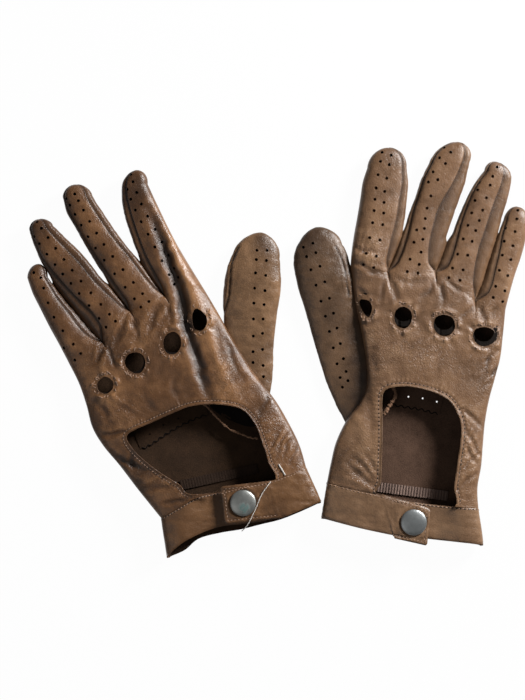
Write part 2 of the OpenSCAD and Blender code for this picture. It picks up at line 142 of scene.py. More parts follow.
# ---- curves and profiles, in millimetres ----
def along(points: Sequence, shares: Array) -> Array:
    """Points at shares of the way along a smooth curve.

    Args:
        points: The curve's points, in two or three dimensions.
        shares: Shares from 0 at the first point to 1 at the last.

    Returns:
        One row for each share.
    """
    pts = np.asarray(points, float)
    n = len(pts) - 1
    f = np.clip(np.asarray(shares, float) * n, 0, n)
    i = np.minimum(f.astype(int), n - 1)
    t = (f - i)[..., None]
    a, b, c, d = (pts[np.clip(i + k, 0, n)] for k in (-1, 0, 1, 2))
    return (2 * b + (c - a) * t + (2 * a - 5 * b + 4 * c - d) * t**2
            + (3 * b - a - 3 * c + d) * t**3) / 2


def even_points(points: Sequence, pitch: float, closed: bool = False, curved: bool = True) -> Array:
    """Points at an even pitch along a curve.

    Args:
        points: The curve's points.
        pitch: Distance from one point to the next.
        closed: Whether the curve returns to its first point.
        curved: Whether the curve is smooth rather than straight between its points.

    Returns:
        The points, the last one left out where the curve is closed.
    """
    pts = np.asarray(points, float)
    if closed:
        pts = np.concatenate([pts[-2:], pts, pts[:3]]) if curved else looped(pts)
    fine = along(pts, np.linspace(0, 1, len(pts) * 24)) if curved else pts
    if closed and curved:
        n = len(pts) - 1
        fine = along(pts, np.linspace(2 / n, (n - 2) / n, len(pts) * 24))
    steps = np.r_[0, np.cumsum(lengths(np.diff(fine, axis=0)))]
    count = max(2, round(steps[-1] / pitch))
    wanted = np.linspace(0, steps[-1], count + 1)
    even = np.stack([np.interp(wanted, steps, fine[:, k]) for k in range(fine.shape[1])], axis=1)
    return even[:-1] if closed else even


def lengths(rows: Array) -> Array:
    """Length of each row, as a vector."""
    return np.linalg.norm(rows, axis=1)


def units(rows: Array) -> Array:
    """Each row made a vector of length 1."""
    return rows / np.maximum(np.linalg.norm(rows, axis=-1, keepdims=True), 1e-9)


def ease(t: Values) -> Values:
    """Smooth step from 0 at t = 0 to 1 at t = 1."""
    c = np.clip(t, 0, 1)
    return c * c * (3 - 2 * c)


def mix(a: Values, b: Values, t: Values) -> Values:
    """Value at share t of the way from a to b."""
    return a + (b - a) * t


def arch(w: Values, square: float) -> Values:
    """Rounded profile from 0 at w = -1 and 1 to 1 in the middle."""
    return (1 - np.minimum(1, np.abs(w)) ** square) ** (1 / square)


def bell(gap: Values, width: float, at: float = 0.0) -> Values:
    """Bell curve, 1 where the gap is at its middle, that fades over a width."""
    return np.exp(-((gap - at) / width) ** 2)


def level(face: Face, z: Values) -> Values:
    """Height share on the back, or on the palm, which lies flat on the table."""
    return z if face is Face.BACK else -np.minimum(1, z * FLAT_SHARE)


def spread(count: int) -> Array:
    """Steps from -1 to 1 that are closer together towards both ends."""
    t = np.linspace(-1, 1, count + 1)
    return 0.55 * np.sin(t * math.pi / 2) + 0.45 * t


def looped(line: Array) -> Array:
    """The line with its first point once more at its end."""
    return np.concatenate([line, line[:1]])


def off_line(points: Sequence, distance: float, closed: bool = False) -> Array:
    """The curve moved sideways to its left.

    Args:
        points: The curve's points.
        distance: How far it moves, to the left of its run.
        closed: Whether the curve returns to its first point.

    Returns:
        The moved points.
    """
    pts = np.asarray(points, float)
    if closed:
        run = np.roll(pts, -1, axis=0) - np.roll(pts, 1, axis=0)
    else:
        run = np.gradient(pts, axis=0)
    run = units(run)
    return pts + distance * np.stack([-run[:, 1], run[:, 0]], axis=1)


class Noise:
    """Smooth seeded noise over two or three dimensions."""

    def __init__(self, seed: int) -> None:
        """Draws the lattice values."""
        self.values = np.random.default_rng(seed).random(4096) * 2 - 1

    def at(self, points: Array, size: float) -> Array:
        """Noise at points.

        Args:
            points: One row for each point, in millimetres.
            size: Size of a feature, in millimetres.

        Returns:
            Values from about -1 to 1.
        """
        p = np.asarray(points, float) / size + 1000
        base = np.floor(p).astype(int)
        t = p - base
        t = t * t * (3 - 2 * t)
        total = np.zeros(len(p))
        for corner in range(2 ** p.shape[1]):
            bits = [(corner >> k) & 1 for k in range(p.shape[1])]
            cell = sum((base[:, k] + bits[k]) * (73, 1321, 769)[k] for k in range(p.shape[1]))
            share = np.prod([t[:, k] if bits[k] else 1 - t[:, k] for k in range(p.shape[1])], axis=0)
            total += share * self.values[(cell * cell + cell * 31) % 4096]
        return total

    def creases(self, points: Array, size: float) -> Array:
        """Ridges along the noise's zero lines, 1 on a ridge and down to about -1 away from it."""
        return 1 - 2 * np.abs(self.at(points, size))

    def rough(self, points: Array, size: float, octaves: int = 3) -> Array:
        """Noise of several sizes together, each half as large as the one before."""
        return sum(self.at(points, size / 2**k) / 2**k for k in range(octaves))


# ---- meshes ----
@dataclass
class Sheet:
    """Skin of joined grids of points, in millimetres, which becomes one mesh."""

    points: list[Array] = field(default_factory=list)
    fades: list[Array] = field(default_factory=list)
    faces: list[Array] = field(default_factory=list)
    count: int = 0

    def add(self, grid: Array, turned: bool = False, closed: bool = False,
            fade: Array | None = None) -> None:
        """Adds a grid.

        Args:
            grid: Points as rows by columns by three.
            turned: Whether the faces look the other way.
            closed: Whether the last column joins the first.
            fade: How much of the relief each point takes, from 0 to 1.
        """
        rows, cols = grid.shape[:2]
        ids = np.arange(rows * cols).reshape(rows, cols) + self.count
        right = np.roll(ids, -1, axis=1) if closed else ids[:, 1:]
        left = ids if closed else ids[:, :-1]
        quads = np.stack([left[:-1], right[:-1], right[1:], left[1:]], axis=-1).reshape(-1, 4)
        self.faces.append(quads[:, ::-1] if turned else quads)
        self.points.append(grid.reshape(-1, 3))
        self.fades.append((np.ones((rows, cols)) if fade is None else fade).reshape(-1))
        self.count += rows * cols

    def mesh(self, name: str, relief: Callable | None = None) -> Mesh:
        """Welds the grids into a mesh.

        Args:
            name: The mesh's name.
            relief: Height above the skin at an array of points, in millimetres.

        Returns:
            The mesh, in metres.
        """
        mesh = bpy.data.meshes.new(name)
        points = np.concatenate(self.points)
        mesh.from_pydata(points.tolist(), [], np.concatenate(self.faces).tolist())
        fade = mesh.attributes.new("fade", "FLOAT", "POINT")
        fade.data.foreach_set("value", np.concatenate(self.fades).astype(np.float32))
        weld(mesh, 0.02)
        if relief is not None:
            places = coordinates(mesh)
            normals = np.empty(len(mesh.vertices) * 3)
            mesh.vertices.foreach_get("normal", normals)
            share = np.empty(len(mesh.vertices), np.float32)
            mesh.attributes["fade"].data.foreach_get("value", share)
            places += normals.reshape(-1, 3) * (relief(places) * share)[:, None]
            places[:, 2] = np.maximum(places[:, 2], 0)
            mesh.vertices.foreach_set("co", places.reshape(-1))
        mesh.attributes.remove(mesh.attributes["fade"])
        scale_mesh(mesh, MM)
        return mesh


def weld(mesh: Mesh, distance: float) -> None:
    """Merges the points of a mesh that lie close together.

    Args:
        mesh: The mesh.
        distance: Below which distance points are merged, in the mesh's own unit.
    """
    work = bmesh.new()
    work.from_mesh(mesh)
    bmesh.ops.remove_doubles(work, verts=work.verts, dist=distance)
    bmesh.ops.dissolve_degenerate(work, edges=work.edges, dist=distance / 10)
    work.to_mesh(mesh)
    work.free()
    mesh.update()


def coordinates(mesh: Mesh) -> Array:
    """The points of a mesh as an array.

    Args:
        mesh: The mesh.

    Returns:
        One row for each point, in the mesh's own unit.
    """
    flat = np.empty(len(mesh.vertices) * 3)
    mesh.vertices.foreach_get("co", flat)
    return flat.reshape(-1, 3)


def scale_mesh(mesh: Mesh, factor: float) -> None:
    """Scales the points of a mesh about the origin."""
    mesh.vertices.foreach_set("co", (coordinates(mesh) * factor).reshape(-1))
    mesh.update()


def place(name: str, mesh: Mesh) -> Object:
    """Puts a mesh into the scene.

    Args:
        name: Name of the object and of the mesh.
        mesh: The mesh.

    Returns:
        The object, at the origin.
    """
    mesh.name = name
    obj = bpy.data.objects.new(name, mesh)
    bpy.context.scene.collection.objects.link(obj)
    return obj


def settle(obj: Object) -> Object:
    """Applies the modifiers of an object to its mesh.

    Args:
        obj: The object.

    Returns:
        The same object.
    """
    bpy.context.view_layer.update()
    graph = bpy.context.evaluated_depsgraph_get()
    mesh = bpy.data.meshes.new_from_object(obj.evaluated_get(graph), depsgraph=graph)
    old = obj.data
    obj.modifiers.clear()
    obj.data = mesh
    bpy.data.meshes.remove(old)
    obj.data.name = obj.name
    return obj


def thicken(obj: Object, thickness: float, *materials: Material) -> None:
    """Gives a skin its wall.

    Args:
        obj: The skin.
        thickness: Thickness of the wall, in millimetres.
        materials: Those of the outer face, the inner face and the edge.
    """
    for material in materials:
        obj.data.materials.append(material)
    wall = obj.modifiers.new("wall", "SOLIDIFY")
    wall.thickness = thickness * MM
    wall.offset = -1
    wall.use_rim = True
    wall.material_offset = 1
    wall.material_offset_rim = 2
    settle(obj)


def cut(obj: Object, cutters: Sequence[Object]) -> None:
    """Takes the cutters' volumes out of an object.

    Args:
        obj: The object.
        cutters: Closed forms, which are removed afterwards.
    """
    for tool in cutters:
        step = obj.modifiers.new("cut", "BOOLEAN")
        step.operation = "DIFFERENCE"
        step.solver = "MANIFOLD"
        step.material_mode = "TRANSFER"
        step.object = tool
    settle(obj)
    for tool in cutters:
        bpy.data.objects.remove(tool)


def soften(obj: Object, angle: float = 50) -> None:
    """Shades an object smooth, with edges sharper than an angle left crisp."""
    obj.data.shade_smooth()
    obj.data.set_sharp_from_angle(angle=math.radians(angle))


def prism(name: str, outline: Array, low: float, high: float,
          material: Material, side: Material | None = None) -> Object:
    """Upright prism.

    Args:
        name: The object's name.
        outline: Its outline, in millimetres, counterclockwise.
        low: Height of its bottom, in millimetres.
        high: Height of its top, in millimetres.
        material: Its material, which the faces that it cuts take.
        side: The material of its upright faces, where that is another.

    Returns:
        The object.
    """
    n = len(outline)
    points = [(x, y, z) for z in (low, high) for x, y in outline]
    sides = [(i, (i + 1) % n, n + (i + 1) % n, n + i) for i in range(n)]
    mesh = bpy.data.meshes.new(name)
    mesh.from_pydata(points, [], [tuple(range(n))[::-1], tuple(range(n, 2 * n))] + sides)
    scale_mesh(mesh, MM)
    mesh.materials.append(material)
    if side is not None:
        mesh.materials.append(side)
        for face in mesh.polygons[2:]:
            face.material_index = 1
    return place(name, mesh)


def lathe(name: str, profile: Line, centre: tuple[float, float, float],
          segments: int = 72) -> Object:
    """Turned piece.

    Args:
        name: The object's name.
        profile: Radius and height of each point, from the bottom axis to the top one.
        centre: Where the profile's origin stands, in millimetres.
        segments: Steps round the axis.

    Returns:
        The object.
    """
    turn = np.linspace(0, 2 * math.pi, segments, endpoint=False)
    grid = np.array([[(centre[0] + r * math.cos(a), centre[1] + r * math.sin(a), centre[2] + z)
                      for a in turn] for r, z in profile])
    skin = Sheet()
    skin.add(grid, closed=True)
    obj = place(name, skin.mesh(name))
    soften(obj, 35)
    return obj


# ---- pattern of the gloves, in millimetres ----
@dataclass(frozen=True)
class Finger:
    """One finger, from its root at the knuckles to its tip.

    Attributes:
        left: Its left edge, from root to tip.
        right: Its right edge.
        tip: The middle of its tip.
        inset_left: How far the seam lies in from the left edge, at even steps from root to tip.
        inset_right: The same on the right.
        holes: Rows of holes on its back, each with its number of holes and its line.
    """

    left: Line
    right: Line
    tip: Point
    inset_left: Sequence[float]
    inset_right: Sequence[float]
    holes: Sequence[tuple[int, Line]] = ()


@dataclass(frozen=True)
class Fold:
    """A crease or ridge that runs along a curve."""

    points: Line
    height: float
    width: float


@dataclass(frozen=True)
class Patch:
    """A patch of fine wrinkles round a centre, which run at an angle."""

    centre: Point
    radius: Point
    angle: float
    pitch: float
    height: float


@dataclass(frozen=True)
class Pattern:
    """Everything that tells one glove from the other, as seen from above.

    Attributes:
        hand_sides: The hand's left and right edges, from cuff to knuckles.
        thumb: Stations from tip to root, each with its place, its half width, how far it has come down
            to the root's height, from 0 to 1, and how far its upper side is drawn back.
        strap: The two corners at the strap's root, and the two at its end.
        wrap: Shares across the back at which the strap's root begins, the band starts to sink, has
            sunk, and the underlap ends.
        scallop: The pinked edge of the palm's patch.
        tape: The two ends of the elastic tape.
        thumb_edge: Raw edge of leather over the thumb's root.
        smudges_and_shadows: Centre, radius and darkness of each smudge and of each painted shadow.
        webs: How far from the root each of the first three fingers touches the next one.
    """

    side: Side
    fingers: Sequence[Finger]
    hand_sides: Sequence[Line]
    cuff_seam: Line
    cuff_back: Line
    cuff_palm: Line
    window: Line
    knuckles: Sequence[Line]
    thumb_tip: Point
    thumb_lean: float
    thumb: Sequence[tuple[Point, float, float, float]]
    thumb_holes: Sequence[tuple[int, Line]]
    thumb_seam: Line
    strap: Sequence[Line]
    snap: Point
    wrap: Sequence[float]
    scallop: Line
    vents: Line
    tape: Line
    thumb_edge: Line
    folds: Sequence[Fold]
    patches: Sequence[Patch]
    smudges_and_shadows: Sequence[tuple[Point, float, float]]
    stitch_pitch: float
    webs: Sequence[float]
    seed: int


LEFT = Pattern(
    side=Side.LEFT,
    fingers=(
        Finger([(-124.5, -8), (-130.5, 3.5), (-136, 13.5), (-141.3, 24), (-146, 33.5), (-149.3, 43)],
               [(-104, 4.3), (-114.5, 12), (-121.5, 21.5), (-128.7, 30.5), (-133.5, 38), (-137, 43.5)],
               (-143, 51.3), (0.6, 1), (1.5, 2, 1.5),
               ((7, [(-140.7, 42.9), (-132.9, 19.5), (-117, -2.1)]),
                (2, [(-144.9, 45.9), (-127.2, 1.2)]), (1, [(-120.6, -6)]))),
        Finger([(-104, 4.3), (-113, 18.5), (-124, 30), (-133, 41), (-140.7, 52), (-145.5, 63), (-148, 71)],
               [(-88, 23.2), (-96, 32.5), (-106, 44), (-113.5, 53.5), (-122, 62.4), (-129.3, 69.5),
                (-134, 74)], (-142.5, 78), (4.5, 4, 2.2, 1.5), (1.5, 4.5, 4.5, 4),
               ((10, [(-144.9, 67.5), (-132.3, 50.7), (-117.9, 33.6), (-102, 13.5)]),
                (11, [(-143.1, 76.2), (-122.1, 47.4), (-96.3, 17.1)]))),
        Finger([(-88, 23.2), (-97, 35), (-105.9, 48), (-112.5, 58.8), (-119.7, 71.4), (-125.5, 82),
                (-128.2, 90.5)],
               [(-67.3, 32.3), (-77, 44), (-86, 57), (-93.5, 66.5), (-102.5, 79.5), (-107.5, 87),
                (-110.5, 92)], (-120.5, 98.7), (2.5, 2.5, 1.5, 1.5), (1.5, 3.5, 3.5),
               ((11, [(-125.7, 90), (-108.3, 60.6), (-81.3, 25.5)]),
                (11, [(-120.6, 92.7), (-103.2, 62.7), (-76.5, 28.8)]))),
        Finger([(-67.3, 32.3), (-74.5, 43), (-82, 55), (-86.7, 66), (-91, 79.5), (-92.9, 90), (-93, 97)],
               [(-46.2, 40), (-53, 51), (-59.5, 62), (-65, 72.5), (-71.5, 86), (-75, 93.5), (-77.5, 99)],
               (-84.5, 107.2), (1, 4, 4.2, 2.5), (1, 1),
               ((10, [(-90.9, 99.6), (-84.6, 83.1), (-72.9, 61.2), (-61.5, 39)]),
                (10, [(-87.3, 104.4), (-81, 86.7), (-68.7, 64.2), (-59.1, 43.2)])))),
    hand_sides=(
        [(-69.5, -100), (-82.5, -84), (-94, -69), (-104, -57), (-110.5, -46), (-114, -33), (-118.5, -20),
         (-124.5, -8)],
        [(17, -70), (13.5, -58), (8.5, -47), (-1, -30.5), (-13.5, -14.5), (-24.9, 3), (-36, 23),
         (-46.2, 40)]),
    cuff_seam=[(-69.5, -100), (-58.5, -93.3), (-47.5, -87.3), (-35, -84.5), (-25, -82), (-14.5, -79.8),
               (-4, -77.5), (6.5, -74), (17, -70)],
    cuff_back=[(-66, -122.5), (-56.5, -114.5), (-46, -109), (-34, -105), (-22, -103.5), (-10, -102),
               (2, -99.5), (14.5, -94.5), (26, -90)],
    cuff_palm=[(-66, -124), (-56, -120), (-47, -113), (-34, -109.5), (-22, -107.5), (-10, -104.5),
               (2, -101.5), (14.5, -96.5), (26, -91)],
    window=[(-4, -79), (-5.7, -66), (-9.3, -54.6), (-13.5, -43.8), (-20.1, -36), (-28.5, -33),
            (-40.5, -32.1), (-52.5, -33.6), (-64.5, -38.4), (-76.5, -43.8), (-84.5, -47.2),
            (-89.2, -50.5), (-88.5, -55), (-82, -62.8), (-70.5, -72), (-58.5, -79.5), (-48.5, -85.5)],
    knuckles=(
        [(-102.6, -15.8), (-107, -19.5), (-106.5, -24), (-102, -26), (-98, -23), (-98, -18.5)],
        [(-84.6, -1.4), (-89.5, -3.5), (-90.7, -8.5), (-87, -13), (-81.5, -13.5), (-78.6, -8.5),
         (-80, -3.2)],
        [(-62, 10.8), (-66.5, 8.5), (-68, 3.5), (-66, -1.5), (-61, -2.3), (-57.5, 2), (-58, 8)],
        [(-48.3, 24.6), (-50.7, 21), (-50.4, 15.5), (-48.5, 12), (-44.5, 11.8), (-42, 16), (-43, 21)]),
    thumb_tip=(-9.8, 70.2),
    thumb_lean=0.0,
    thumb=(((-12.7, 56), 14.0, 0, 0), ((-13.2, 52), 15.0, 0, 0), ((-14.7, 42), 16.7, 0, 0),
           ((-15.8, 30), 16.6, 0.3, 0), ((-16.5, 18), 15.6, 0.6, 0), ((-17, 2), 14.5, 1, 0),
           ((-18, -14), 15, 1, 2), ((-22, -28), 16.5, 1, 8), ((-28.5, -42), 18, 1, 15)),
    thumb_holes=((9, [(-12.3, 59.4), (-14.1, 27.9), (-14.7, -7.5)]),
                 (10, [(-6.3, 59.4), (-7.5, 35.4), (-9, 9.9), (-8.4, -15.9)])),
    thumb_seam=[(-23.5, 61), (-27.3, 52), (-28.5, 41), (-29, 33), (-30.5, 27), (-32.5, 21)],
    strap=([(-4.2, -77.4), (1.8, -99.6)], [(-34, -80.8), (-31.2, -103.2)]),
    snap=(-20.5, -90.5),
    wrap=(0.75, 0.08, 0.37, 0.66),
    scallop=[(-82, -59.5), (-76.5, -57), (-67.5, -51), (-58.5, -45.6), (-50, -41.5), (-41.5, -38.5)],
    vents=[(-76.5, -50.5), (-68.5, -45), (-59.5, -41)],
    tape=[(-58, -81), (-12, -71)],
    thumb_edge=[(-44, -32.4), (-40, -36), (-35.7, -40.8), (-31.5, -45), (-27.3, -48), (-22.5, -49.8),
                (-16.5, -52.2), (-11.7, -52.8)],
    folds=(
        Fold([(-76.5, 84), (-71, 70), (-65, 53), (-58.5, 36), (-55.5, 18), (-49.5, 0), (-43.5, -21),
              (-38.7, -30)], -2.1, 2.8),
        Fold([(-67.5, 72), (-56, 46), (-46, 24), (-38, 0), (-31, -18), (-24, -30)], 1.5, 4.0),
        Fold([(-103.6, -13), (-104, -2), (-104.5, 2)], 0.6, 2.5),
        Fold([(-104.5, 2), (-107, -5), (-111, -10)], -0.6, 1.4),
        Fold([(-101, 3), (-99, -5), (-96, -11)], -0.5, 1.4),
        Fold([(-89, 20), (-93, 12), (-97, 3)], -0.6, 1.6),
        Fold([(-86, 20), (-84, 11), (-83, 4)], -0.5, 1.6),
        Fold([(-69, 29), (-74, 20), (-77, 10)], -0.6, 1.8),
        Fold([(-65, 28), (-63, 20), (-62, 14)], -0.5, 1.6),
        Fold([(-105.7, -50.6), (-97, -50), (-89.2, -47.6)], -0.7, 1.3),
        Fold([(-87.1, -61), (-87.5, -66), (-86, -71.3)], -0.7, 1.3),
        Fold([(-99, -61), (-88, -68), (-76.5, -72)], -0.8, 1.5),
        Fold([(-93, -70), (-84, -76.5), (-74, -78)], 0.6, 2.2),
        Fold([(-80, -84), (-70, -82), (-60, -80.5)], -0.6, 1.4),
        Fold([(-69.5, -91), (-61, -90), (-52, -87.8)], -0.7, 1.2),
        Fold([(2.8, -64), (5, -58), (9, -52.7)], -0.5, 0.9),
        Fold([(-0.5, -62), (2, -55), (6.5, -49)], -0.5, 0.9),
        Fold([(-4, -59), (-1, -51.5), (3, -45)], -0.5, 0.9),
        Fold([(7, -68), (9.5, -62), (12.5, -57)], -0.4, 0.9),
        Fold([(-12, -40), (-7, -30), (-6, -22)], -0.4, 1.4),
        Fold([(-30, 8), (-27, -6), (-20, -18)], -0.4, 1.6),
        Fold([(-60, -14), (-62, -22), (-58, -30)], -0.35, 1.8),
        Fold([(-80, -22), (-77, -31), (-71, -37)], -0.35, 1.8),
        Fold([(-110, -30), (-103, -36), (-99, -45)], -0.5, 1.6)),
    patches=(
        Patch((-84, 12), (14, 10), 60, 2.6, 0.28), Patch((-104, -2), (10, 10), 80, 2.0, 0.22),
        Patch((-67.5, -75), (20, 13), 25, 3.4, 0.3), Patch((-7, -43), (6, 8), 40, 1.6, 0.2),
        Patch((-32, -14), (9, 16), 55, 1.7, 0.18), Patch((-95, -40), (14, 14), -30, 3.2, 0.25),
        Patch((-62, 22), (14, 8), 65, 2.4, 0.22), Patch((0, -56), (9, 12), 55, 2.2, 0.25)),
    # The patch at (-104, 4) is painted shade in the crotch between the little and ring fingers.
    smudges_and_shadows=(((-86, 94), 12, 0.55), ((-82, 80), 9, 0.3), ((-2, 62), 9, 0.3), ((-10, 66), 5, 0.3),
             ((-104, 4), 4, 0.4), ((-78, -72), 12, 0.3), ((-50, 14), 8, 0.3)),
    stitch_pitch=2.0,
    webs=(52, 24, 28),
    seed=11)

RIGHT = Pattern(
    side=Side.RIGHT,
    fingers=(
        Finger([(43.5, 49), (44, 57), (45.5, 68), (47.5, 79), (49.3, 90), (50.8, 100), (53.5, 108.5)],
               [(65.5, 46.5), (69.5, 57), (73, 66.5), (75.5, 76.5), (76.8, 87.5), (77.8, 98.5),
                (77, 108.5)], (66, 120.7), (1, 1), (1.5, 5, 5, 4, 2.5),
               ((10, [(62.1, 117.6), (58.5, 96.3), (56.4, 75.6), (51, 50.7)]),
                (10, [(67.5, 115.8), (63.6, 94.2), (62.4, 74.4), (57, 48.9)]))),
        Finger([(65.5, 46.5), (70.5, 57), (75, 70), (78.8, 82.5), (82.8, 93), (86, 102.5), (90.5, 111.5)],
               [(94, 46), (96.8, 57), (100.8, 68), (104.6, 79.5), (108.6, 90.5), (111.8, 100.5),
                (114.5, 112)], (106.5, 124), (3, 3.5, 2, 1.5, 1.5), (3, 8, 10, 10, 7, 4),
               ((4, [(99, 120.4), (89.6, 99.8)]), (4, [(82.6, 71.3), (77, 46.6)]),
                (11, [(102.9, 117.5), (90.1, 88.9), (86.6, 68), (83.4, 45.7)]))),
        Finger([(94, 46), (99.5, 56), (103.5, 67.5), (108, 79.5), (113.3, 91.5), (118.5, 100.5),
                (123.5, 107)],
               [(117.7, 29), (121.5, 43), (125.5, 55), (129.5, 66.5), (134, 80), (137.5, 91.5),
                (139.5, 101.5)], (132.3, 111.8), (4, 4.4, 2.5, 1.5, 1.5), (2, 7, 7.5, 7.5, 5),
               ((9, [(120, 99.6), (113.1, 74.1), (101.7, 42.9)]), (1, [(130.5, 108.8)]),
                (10, [(127.8, 103.2), (121.8, 83.1), (115.5, 64.5), (108.3, 41.4)]))),
        Finger([(117.7, 29), (123.3, 39), (126, 49), (129, 59.5), (131.8, 69.5), (134.8, 77.5)],
               [(136, 24), (138.6, 34.5), (141.5, 44.5), (145.3, 55.5), (148, 66), (149.3, 75)],
               (143.5, 85.5), (4, 3.5, 1.5), (1, 1.2),
               ((7, [(135.9, 78), (133.5, 56.4), (128.1, 31.2)]),
                (8, [(142.8, 83.1), (139.2, 57.9), (133.8, 28.8)])))),
    hand_sides=(
        [(29.5, -78.5), (31.8, -67), (34.8, -55), (41, -42), (48.5, -32), (53, -22), (53, -8),
         (50.5, 8), (46.5, 28), (43.5, 49)],
        [(119.5, -94), (119, -82), (121.2, -69), (122.2, -57), (123.5, -43), (126, -29.5),
         (129.5, -17), (132.7, -5), (134.5, 9), (136, 24)]),
    cuff_seam=[(29.5, -78.5), (45, -82.6), (61, -86), (71, -88.6), (82, -90.5), (91.5, -91.8),
               (101.5, -92.7), (110.5, -93.3), (119.5, -94)],
    cuff_back=[(26, -99.5), (47, -105.2), (68.5, -109.8), (76, -110.8), (84, -111.5), (93, -112.5),
               (102, -113.5), (112, -114.5), (122.5, -115.5)],
    cuff_palm=[(26, -100.5), (47, -106.2), (68.5, -110.8), (76, -111.8), (84, -112.5), (93, -113.5),
               (102, -114.5), (112, -115.5), (122.5, -116.5)],
    window=[(61.2, -87), (61.2, -78), (61.6, -66), (62, -54), (62.1, -42), (62, -31), (62.9, -25),
            (66.5, -22.5), (73.5, -21.6), (79.5, -21.9), (87, -23.4), (95, -26), (101.7, -30),
            (106.4, -37), (108.8, -45), (108.3, -55), (106.5, -67), (104.6, -80), (102.3, -93.6)],
    knuckles=(
        [(49.2, 30), (49.3, 25.5), (51.7, 21.5), (54.3, 19.6), (56.1, 24.6), (54.5, 29)],
        [(74.4, 25.8), (70.3, 23.5), (69.3, 18.5), (71.5, 13.9), (76.5, 13.2), (79.5, 17.5), (79, 23.2)],
        [(98.5, 21), (93.8, 19), (92.6, 13.5), (96, 9), (101.5, 8.6), (105.2, 13), (104, 18.8)],
        [(122.5, 13.6), (117.5, 12.2), (116, 7.8), (119, 3.2), (124.5, 2.4), (129.6, 6.2), (128.3, 11.6)]),
    thumb_tip=(22.3, 73.2),
    thumb_lean=-9.0,
    thumb=(((24.2, 58.5), 15.2, 0, 0), ((25.5, 54), 16.4, 0, 0), ((28.5, 42), 17, 0, 0),
           ((31.8, 30), 16.4, 0.3, 0), ((34.5, 19), 16, 0.6, 0), ((38.5, 5), 16, 1, 0),
           ((43, -9), 16, 1, 0), ((48, -22), 16, 1, 1), ((54, -35), 15.5, 1, 4)),
    thumb_holes=((11, [(15.3, 61.2), (28.5, 20.1), (38.7, -22.2)]),
                 (11, [(21, 63.6), (33.3, 21.9), (42, -18.3)])),
    thumb_seam=[(34.5, 62), (39, 52), (41, 42), (42.5, 32)],
    strap=([(61.3, -85.2), (68.7, -111.5)], [(90.5, -94), (88.5, -116)]),
    snap=(80.5, -102),
    wrap=(0.25, 0.92, 0.63, 0.37),
    scallop=[(69, -33), (73.5, -33.6), (79, -34.6), (85.5, -35.6), (91.5, -37.2), (97, -38.5)],
    vents=[(78.5, -28), (87, -29), (95.5, -31)],
    tape=[(60, -82), (102, -87.5)],
    thumb_edge=[(69.3, -22.2), (70.5, -27), (68.1, -31.2), (65.7, -34.8), (63.3, -39)],
    folds=(
        Fold([(43.5, 53), (52, 48.5), (60, 45.5), (65.7, 45)], -0.6, 1.4),
        Fold([(45, 57.5), (53, 54), (62, 52.5)], 0.5, 2.2),
        Fold([(45, 62), (52, 58.5), (60, 58)], -0.4, 1.4),
        Fold([(66, 44), (69, 36), (73, 29)], -0.6, 1.6), Fold([(64, 43), (62, 35), (61, 27)], -0.5, 1.6),
        Fold([(94, 44), (90, 36), (85, 30)], -0.6, 1.8), Fold([(95, 43), (97, 35), (98, 27)], -0.6, 1.6),
        Fold([(98, 44), (104, 38), (110, 34)], -0.4, 1.4),
        Fold([(117, 27), (112, 22), (108, 18)], -0.6, 1.6),
        Fold([(119, 27), (122, 21), (124, 16)], -0.5, 1.4),
        Fold([(68, 44), (78, 40), (90, 42)], -0.4, 1.8), Fold([(47, 36), (52, 33.5), (58, 33)], -0.5, 1.3),
        Fold([(48, 17), (53, 15.5), (60, 17)], -0.5, 1.3),
        Fold([(59.6, -82), (50, -75), (40.5, -67.2)], -0.6, 1.4),
        Fold([(60, -80), (52, -71), (44.7, -63)], -0.6, 1.4),
        Fold([(60.3, -77), (56, -68), (50.7, -60)], -0.5, 1.3),
        Fold([(56, -83), (46, -78), (36, -74)], 0.5, 1.8),
        Fold([(110, -45), (115, -54), (120.3, -63)], -0.5, 1.2),
        Fold([(110.5, -54), (114, -62), (119, -69)], -0.5, 1.2),
        Fold([(107.5, -73), (115, -65), (122, -60)], -0.5, 1.2),
        Fold([(104.8, -84), (112, -77), (120.3, -72)], -0.5, 1.2),
        Fold([(107.5, -34.8), (114, -39), (121.5, -45)], -0.5, 1.4),
        Fold([(132, 2), (126, -5), (123, -14)], -0.5, 1.6),
        Fold([(133, -8), (128, -14), (125, -22)], -0.4, 1.4),
        Fold([(50, -20), (54, -32), (57, -46)], -0.5, 2.4),
        Fold([(46, -38), (50, -48), (52, -58)], 0.5, 2.6),
        Fold([(57, 8), (56, -4), (59, -16)], -0.4, 2.2)),
    patches=(
        Patch((55, 58), (11, 14), 80, 2.0, 0.28), Patch((79, 42), (12, 7), 85, 2.0, 0.25),
        Patch((105, 38), (10, 8), 75, 2.0, 0.22), Patch((124, 22), (9, 8), 60, 1.9, 0.22),
        Patch((46, -66), (12, 14), 35, 2.6, 0.28), Patch((115, -60), (8, 24), 60, 2.4, 0.28),
        Patch((127, -12), (8, 18), 40, 2.2, 0.22), Patch((56, -4), (8, 24), 10, 2.6, 0.2),
        Patch((84, 0), (20, 12), 20, 2.4, 0.14)),
    # The patches from (43, 18) down to (47, -28) are painted shadow that the hand's side casts on the
    # thumb.
    smudges_and_shadows=(((15, 66), 11, 0.5), ((26, 70), 7, 0.3), ((45, 6), 5, 0.7), ((47, -6), 5.5, 0.9),
             ((50, -17), 6, 0.9), ((47, -28), 6, 0.9), ((43, 18), 4.5, 0.4), ((36, -66), 9, 0.3)),
    stitch_pitch=2.4,
    webs=(33, 28, 50),
    seed=23)


